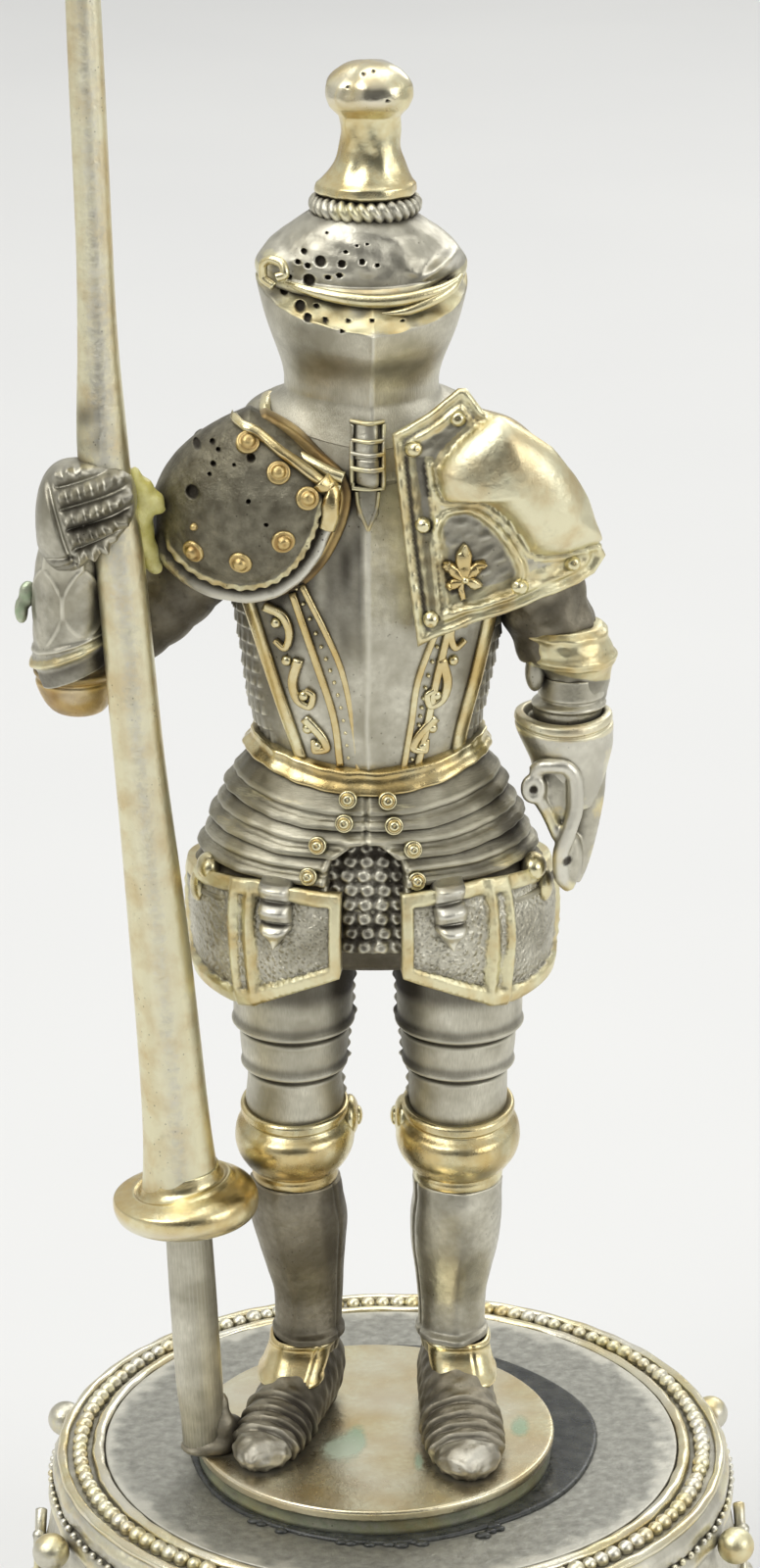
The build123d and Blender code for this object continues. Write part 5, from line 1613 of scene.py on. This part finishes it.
def left_hand():
    parts = [capped(tube([(8.15, -0.9, 31.2, 0.85, 0.75), (8.15, -1.0, 29.6, 0.75, 0.62),
                          (7.95, -1.2, 27.8, 0.66, 0.5), (7.75, -1.4, 26.4, 0.5, 0.42),
                          (7.65, -1.5, 25.5, 0.26, 0.26)], 60, 30))]
    rim_path = [(5.85, -2.15, 30.55), (6.3, -2.35, 30.9), (7.0, -2.45, 30.95), (7.55, -2.4, 30.3),
                (7.6, -2.4, 29.2), (7.3, -2.45, 28.0), (7.0, -2.4, 27.0), (7.05, -2.3, 26.1),
                (7.45, -2.0, 25.5)]
    parts.append(wire([(*place, 0.34) for place in rim_path], 110, 20, flat=(0, 1, 0)))
    turn = np.linspace(0, 2 * math.pi, 22)
    loop = [(5.85 + 0.3 * math.cos(t), -2.3, 29.9 + 0.42 * math.sin(t), 0.25) for t in turn]
    parts.append(wire(loop, 80, 16, flat=(0, 1, 0)))
    edge = [(6.05, -2.2, 29.5, 0.3, 0.3), (6.5, -2.1, 28.7, 0.32, 0.3), (6.95, -2.2, 27.7, 0.3, 0.3)]
    parts.append(capped(tube(edge, 40, 16, flat=(0, 1, 0))))
    parts.append(ball((6.95, -1.8, GROUND + 29.5), (0.9, 0.45, 1.7), 24, 30))
    parts.append(ball((5.9, -1.95, GROUND + 29.95), (0.45, 0.3, 0.55), 20, 26))
    parts.append(ball((7.45, -1.9, GROUND + 26.7), (0.5, 0.45, 1.2), 24, 30))
    piece = fused("left_hand_gauntlet", merged(parts), SILVERED, "left_hand", 0.08, 8)
    points = mesh_points(piece)
    black = pits(points, [(7.28, 26.8, 0.22), (5.85, 29.9, 0.2)])
    paint(piece, "gilt", 0.25 + 0.35 * lumps(points, 1.0))
    # Painted shade on the parts set back from the front of the hand; black marks the casting holes
    paint(piece, "dark", black + 0.2 * smoothstep(-2.1, -1.8, points[:, 1]) * (points[:, 0] < 7.4))
    # Painted highlight on the foremost parts of the hand
    paint(piece, "bright", 0.5 * smoothstep(-2.3, -2.55, points[:, 1]))


def mesh_points(piece):
    points = np.empty(len(piece.data.vertices) * 3)
    piece.data.vertices.foreach_get("co", points)
    return points.reshape(-1, 3) / MM


def fused(name, shape, material, replaces, voxel, smooth):
    """Overlapping shapes melted into one skin."""
    points, faces = shape
    piece = make(name, points, faces, material, replaces)
    remesh = piece.modifiers.new("fuse", "REMESH")
    remesh.mode, remesh.voxel_size, remesh.use_smooth_shade = "VOXEL", voxel * MM, True
    relax = piece.modifiers.new("relax", "SMOOTH")
    relax.factor, relax.iterations = 0.5, smooth
    depsgraph = bpy.context.evaluated_depsgraph_get()
    mesh = bpy.data.meshes.new_from_object(piece.evaluated_get(depsgraph))
    piece.modifiers.clear()
    old, piece.data = piece.data, mesh
    bpy.data.meshes.remove(old)
    mesh.name = name
    return standing_out(piece)


FIST = [(-12.13, 44.3), (-13.0, 44.25), (-13.71, 43.9), (-14.15, 43.1), (-14.31, 41.9), (-14.28, 41.0),
        (-13.95, 40.2), (-13.40, 39.75), (-12.82, 39.75), (-12.0, 40.3), (-11.2, 40.9), (-10.5, 41.7),
        (-10.22, 42.5), (-10.34, 43.35), (-10.74, 43.95), (-11.4, 44.25)]
FIST_MIDDLE = (-12.3, 42.4)


def right_fist():
    def relief(x, h, r):
        off_x, off_h = x - FIST_MIDDLE[0], h - FIST_MIDDLE[1]
        along = off_x * 0.96 + off_h * 0.28
        up = off_h * 0.96 - off_x * 0.28
        over = smoothstep(-0.9, -0.6, along) * smoothstep(-2.1, -1.8, up)
        rows = np.abs(np.sin((up + 0.35) * math.pi / 0.86))
        inner = smoothstep(1.0, 0.82, r)
        grooves = 0.42 * (rows ** 0.8 - 0.7)
        knuckle = (along + 0.6) / 0.5
        studs = np.maximum(0, 1 - 2.2 * np.abs(knuckle - np.round(knuckle))) * rows ** 3
        fold = -0.2 * bump(along, -1.05, 0.12)
        heel = -0.16 * (bump(up, -1.55, 0.1) + bump(up, -2.0, 0.1)) * (1 - over)
        return inner * (over * (grooves + 0.36 * studs) + heel + fold)

    points, faces = capped(shell(FIST, -3.6, 2.1, 2.1, relief, 170, 260, 2.3))
    piece = make("right_fist_gauntlet", points, faces, SILVERED, "right_fist")
    paint(piece, "dark", 0.2 + 0.2 * lumps(points, 1.2))


def right_vambrace():
    def cuff_relief(a, h):
        flare = 0.14 * bump(h, 36.0, 0.16) + 0.1 * bump(h, 36.5, 0.1)
        leaf = 0.62 * np.sin(math.pi * np.clip((h - 36.6) / 3.2, 0, 1)) ** 0.7
        edge = 0.07 * sum(bump(np.abs(a - middle), leaf, 0.08) for middle in (-0.75, 0.5))
        edge = edge * smoothstep(36.6, 36.8, h)
        return flare + edge + 0.02 * lumps_round(a, h, 2, 0.5)

    cuff = [(34.85, -12.95, -1.9, 1.4, 1.5), (35.6, -13.0, -1.9, 1.55, 1.7),
            (36.0, -13.05, -1.95, 1.68, 1.9), (36.6, -13.05, -2.05, 1.62, 1.85),
            (38.2, -13.1, -2.4, 1.5, 1.7), (39.6, -13.1, -2.8, 1.38, 1.5), (40.6, -13.0, -3.1, 1.2, 1.35),
            (41.4, -12.7, -3.3, 1.1, 1.2)]
    grid = column(cuff, 120, 140, cuff_relief)
    slope = smoothstep(38.5, 35.5, height(grid))
    grid[..., 2] += slope * 0.42 * (grid[..., 0] + 13.0)
    points, faces = capped(grid)
    piece = make("right_vambrace_cuff", points, faces, SILVERED, "right_vambrace")
    h = height(points) - 0.42 * (points[:, 0] + 13.0)
    paint(piece, "gilt", 0.95 * bump(h, 36.05, 0.28)
          + 0.6 * smoothstep(-12.2, -11.8, points[:, 0]) * (h > 36.5))
    # Painted shade below the cuff's flare
    paint(piece, "dark", 0.5 * smoothstep(35.75, 35.5, h) + 0.1 + 0.2 * lumps(points, 0.9))


def vambrace_chip():
    drops = [((-14.8, -2.3, 38.3), (0.4, 0.3, 0.55)), ((-15.1, -2.3, 37.6), (0.3, 0.25, 0.6))]
    chip = fused("vambrace_resin_chip", blobs(drops), SILVERED, (), 0.1, 3)
    paint(chip, "green", 0.5)
    paint(chip, "dark", 0.3)


def right_couter():
    elbow = [(32.62, -12.9, -0.5, 0.3, 0.3), (32.75, -12.95, -0.5, 0.95, 1.0),
             (33.1, -13.0, -0.55, 1.3, 1.4), (33.7, -13.05, -0.65, 1.55, 1.7),
             (34.3, -13.08, -0.8, 1.66, 1.85), (34.8, -13.05, -1.0, 1.62, 1.8),
             (35.3, -13.0, -1.2, 1.5, 1.7), (35.9, -12.95, -1.4, 1.3, 1.5)]

    def elbow_relief(a, h):
        return 0.1 * bump(h, 34.7, 0.16) - 0.1 * bump(h, 34.35, 0.1)

    points, faces = capped(column(elbow, 80, 120, elbow_relief))
    piece = make("right_couter_cup", points, faces, RUDDY, "right_couter")
    shade = 0.55 * smoothstep(34.3, 34.8, height(points)) + 0.08
    paint(piece, "dark", shade + 0.14 * lumps(points, 0.5))
    paint(piece, "bright", 0.3 * smoothstep(0.1, 0.6, lumps(points, 1.1, 4)))


def right_upper_arm():
    arm = [(-12.6, -0.4, 34.6, 1.5, 1.5), (-11.2, -0.1, 35.9, 1.6, 1.6), (-9.6, 0.1, 37.3, 1.8, 1.8),
           (-8.3, 0.2, 38.9, 2.0, 2.0), (-7.2, 0.2, 40.6, 2.0, 2.0)]

    def sleeve(a, row):
        return 0.07 * np.abs(np.sin(row * 24)) - 0.04

    points, faces = capped(tube(arm, 110, 90, sleeve, flat=(0, 1, 0)))
    piece = make("right_upper_arm_sleeve", points, faces, OXIDISED, "right_upper_arm")
    paint(piece, "dark", 0.4 + 0.2 * lumps(points, 1.0))


def shoulder_glue():
    beads = [((-10.35, -2.9, 43.3), (0.3, 0.5, 0.5)), ((-10.1, -2.8, 42.8), (0.55, 0.6, 0.55)),
             ((-9.75, -2.7, 42.3), (0.6, 0.6, 0.5)), ((-10.2, -2.6, 41.9), (0.6, 0.7, 0.9)),
             ((-9.45, -2.8, 42.0), (0.35, 0.4, 0.22)), ((-10.1, -2.4, 40.9), (0.5, 0.7, 1.0)),
             ((-9.85, -2.3, 40.0), (0.42, 0.6, 0.7)), ((-9.6, -2.3, 39.4), (0.32, 0.4, 0.3)),
             ((-10.6, -2.0, 42.0), (0.7, 0.8, 1.1))]
    fused("shoulder_glue_blobs", blobs(beads), YELLOW, "shoulder_adhesive", 0.12, 5)


# ------------------------------------------------------------------ lance
LANCE_Y = -3.3


def lance_shaft():
    """The shaft bends a little in the fist."""
    shaft = [(-8.9, LANCE_Y, 12.2, 1.7), (-9.0, LANCE_Y, 13.8, 1.52), (-9.16, LANCE_Y, 16.5, 1.38),
             (-9.7, LANCE_Y, 24.0, 1.22), (-10.41, LANCE_Y, 32.2, 1.03), (-10.85, LANCE_Y, 38.2, 1.0),
             (-11.1, LANCE_Y, 41.0, 1.0), (-11.55, LANCE_Y, 44.35, 1.02), (-11.68, LANCE_Y, 48.95, 0.8),
             (-11.74, LANCE_Y, 53.2, 0.71), (-11.9, LANCE_Y, 60.0, 0.69), (-12.15, LANCE_Y, 70.0, 0.6),
             (-12.4, LANCE_Y, 79.2, 0.42), (-12.45, LANCE_Y, 79.9, 0.16)]

    def faceted(a, row):
        return 0.035 * np.abs(np.sin(3 * a))

    points, faces = wire(shaft, 420, 72, faceted)
    piece = make("lance_shaft_chased", points, faces, SILVERED, "lance_shaft")
    h = height(points)
    axis = np.interp(h, [k[2] for k in shaft], [k[0] for k in shaft])
    # rubbed: gilding worn thin down the front of the shaft, where a painted highlight also runs
    rubbed = bump(points[:, 0] - axis, 0.1, 0.6) * (points[:, 1] < LANCE_Y)
    paint(piece, "gilt", 0.8 - 0.3 * rubbed + 0.1 * lumps(points * [1, 1, 0.25], 3.0))
    paint(piece, "bright", 0.25 * rubbed + 0.15)
    # A rough damaged patch just above the fist, with painted shade on the figure's right side of the shaft
    scar_and_shade = 0.65 * bump(h, 45.6, 1.2) * (points[:, 0] < -11.6)
    paint(piece, "dark", 0.06 + scar_and_shade * (0.8 + 0.6 * lumps(points, 0.8)))


def lance_vamplate():
    guard = [(-8.7, LANCE_Y, 10.72, 0.9), (-8.71, LANCE_Y, 10.8, 1.6), (-8.72, LANCE_Y, 11.05, 2.7),
             (-8.73, LANCE_Y, 11.35, 3.02), (-8.74, LANCE_Y, 11.75, 3.1), (-8.75, LANCE_Y, 12.1, 3.02),
             (-8.77, LANCE_Y, 12.35, 2.7), (-8.8, LANCE_Y, 12.55, 2.2), (-8.84, LANCE_Y, 12.75, 1.75),
             (-8.9, LANCE_Y, 13.3, 1.58)]
    points, faces = wire(guard, 110, 150)
    disc = make("lance_vamplate_disc", points, faces, GILT, "lance_vamplate")
    # Painted highlight on the lower part of the guard
    paint(disc, "bright", 0.6 * smoothstep(11.8, 11.2, height(points)))


def lance_grip():
    """The grip below the guard stands on the footplate."""
    def ground_facets(a, row):
        return 0.035 * np.abs(np.cos(2.5 * a)) + 0.01 * np.sin(37 * a)

    grip = [(-8.15, -3.2, 0.02, 0.5), (-8.15, -3.2, 0.1, 0.84), (-8.18, -3.2, 1.3, 0.9),
            (-8.33, -3.22, 3.7, 0.98), (-8.5, -3.25, 7.1, 0.98), (-8.66, -3.3, 10.4, 0.95),
            (-8.7, -3.3, 11.1, 0.92)]
    points, faces = wire(grip, 90, 96, ground_facets)
    piece = make("lance_grip_ground", points, faces, BRUSHED, "lance_grip")
    paint(piece, "dark", 0.3 * bump(height(points), 0, 1.0))


def lance_foot():
    joint = [((-7.7, -3.5, 0.25), (1.0, 0.8, 0.5)), ((-7.3, -3.3, 1.0), (0.6, 0.6, 0.8)),
             ((-8.2, -3.3, 0.1), (0.98, 0.95, 0.3)), ((-7.0, -2.9, 0.6), (0.7, 0.9, 0.7)),
             ((-7.35, -3.1, 1.8), (0.35, 0.4, 0.8))]
    piece = fused("lance_foot_solder", blobs(joint), OXIDISED, (), 0.12, 6)
    paint(piece, "dark", 0.3)


# ------------------------------------------------------------------ stage, light and camera
TENT_LEVELS = ((0.0, 0.7), (0.5, 0.62), (0.56, 0.75), (0.78, 0.95), (1.0, 1.0))
OPENING = (0.08, -0.99, 0.12)
OPENING_LEVELS = ((0.0, 1.0), (0.55, 1.0), (0.8, 0.5), (0.93, 0.2), (1.0, 0.12))
TENT_STRENGTH = 0.75
FOCAL_LENGTH = 99                           # on a 36 mm sensor
CAMERA_PLACE = (-0.00049, -0.1704, 0.10597)
CAMERA_PITCH = 70.79                        # degrees up from straight down
FLOOR_REACH = 3.0                           # metres
AIM = (0, 0, 0.045)                         # the lamps face the figure's middle


def light_tent():
    """White cloth all round, brighter overhead, with the dark opening that the front faces."""
    world = bpy.data.worlds.new("light_tent")
    world.use_nodes = True
    tree = world.node_tree

    def node(kind, operation, a, b):
        made = tree.nodes.new("ShaderNode" + kind)
        made.operation = operation
        for socket, value in zip(made.inputs, (a, b)):
            if isinstance(value, bpy.types.NodeSocket):
                tree.links.new(value, socket)
            else:
                socket.default_value = value
        return made.outputs["Value"]

    def ramp(value, stops):
        made = tree.nodes.new("ShaderNodeValToRGB")
        for _ in stops[2:]:
            made.color_ramp.elements.new(0.5)
        for element, (place, level) in zip(made.color_ramp.elements, stops):
            element.position, element.color = place, (level, level, level * 0.985, 1)
        tree.links.new(value, made.inputs[0])
        return made.outputs[0]

    where = tree.nodes.new("ShaderNodeTexCoord").outputs["Generated"]
    split = tree.nodes.new("ShaderNodeSeparateXYZ")
    tree.links.new(where, split.inputs[0])
    up = node("Math", "MULTIPLY", split.outputs["Z"], 0.5)
    up = node("Math", "ADD", up, 0.5)
    cloth = ramp(up, TENT_LEVELS)
    facing = node("VectorMath", "DOT_PRODUCT", where, OPENING)
    opening = ramp(facing, OPENING_LEVELS)
    both = tree.nodes.new("ShaderNodeMix")
    both.data_type, both.blend_type = "RGBA", "MULTIPLY"
    both.inputs["Factor"].default_value = 1.0
    tree.links.new(cloth, both.inputs["A"])
    tree.links.new(opening, both.inputs["B"])
    tree.links.new(both.outputs["Result"], tree.nodes["Background"].inputs["Color"])
    tree.nodes["Background"].inputs["Strength"].default_value = TENT_STRENGTH
    bpy.context.scene.world = world


def stage():
    floor = bpy.data.meshes.new("floor")
    corners = [(x * FLOOR_REACH, y * FLOOR_REACH, 0) for x, y in ((-1, -1), (1, -1), (1, 1), (-1, 1))]
    floor.from_pydata(corners, [], [(0, 1, 2, 3)])
    n = Nodes("studio_floor")
    n.feed(n.shader.inputs["Base Color"], n.mix(n.noise(60, 2), srgb(216, 216, 216), srgb(222, 222, 221)))
    n.shader.inputs["Roughness"].default_value = 0.8
    floor.materials.append(n.material)
    piece = bpy.data.objects.new("studio_floor", floor)
    bpy.context.scene.collection.objects.link(piece)

    light_tent()
    for name, place, size, power in (("key_panel", (-0.35, -0.25, 0.55), 0.45, 1.6),
                                     ("fill_panel", (0.5, -0.3, 0.3), 0.4, 0.9),
                                     ("top_panel", (0.0, 0.1, 0.6), 0.5, 1.0),
                                     ("rim_panel", (0.25, 0.45, 0.35), 0.3, 0.5)):
        light = bpy.data.lights.new(name, "AREA")
        light.shape, light.size, light.energy = "DISK", size, power
        lamp = bpy.data.objects.new(name, light)
        lamp.location = place
        aim = Vector(AIM) - Vector(place)
        lamp.rotation_euler = aim.to_track_quat("-Z", "Y").to_euler()
        bpy.context.scene.collection.objects.link(lamp)

    lens = bpy.data.cameras.new("camera")
    lens.lens, lens.sensor_width, lens.clip_start = FOCAL_LENGTH, 36, 0.01
    camera = bpy.data.objects.new("camera", lens)
    camera.location = CAMERA_PLACE
    camera.rotation_euler = (math.radians(CAMERA_PITCH), 0, 0)
    bpy.context.scene.collection.objects.link(camera)
    bpy.context.scene.camera = camera
    bpy.context.scene.view_settings.view_transform = "Standard"


def build():
    pedestal()
    rim()
    frieze()
    footing()
    for side, knee, ankle, toe, splay in ((-1, (-4.15, 0.0), (-3.62, 0.65), (-6.0, -5.75), -0.3),
                                          (1, (2.86, 0.0), (2.65, 0.65), (3.42, -6.6), 0.15)):
        leg(side, knee, ankle, splay)
        foot(side, ankle, toe)
        tasset(side)
    hip_core()
    fauld()
    mail_panel()
    skirt_rivets()
    breastplate()
    backplate()
    gorget()
    waist()
    breast_ornament()
    chest_strap()
    visor()
    skull_cap()
    slit_trim()
    torse()
    finial()
    right_pauldron()
    grandguard()
    left_pauldron()
    left_upper_arm()
    left_couter()
    left_forearm()
    left_gauntlet_cuff()
    left_hand()
    right_fist()
    right_vambrace()
    vambrace_chip()
    right_couter()
    right_upper_arm()
    shoulder_glue()
    lance_shaft()
    lance_vamplate()
    lance_grip()
    lance_foot()
    stage()


build()
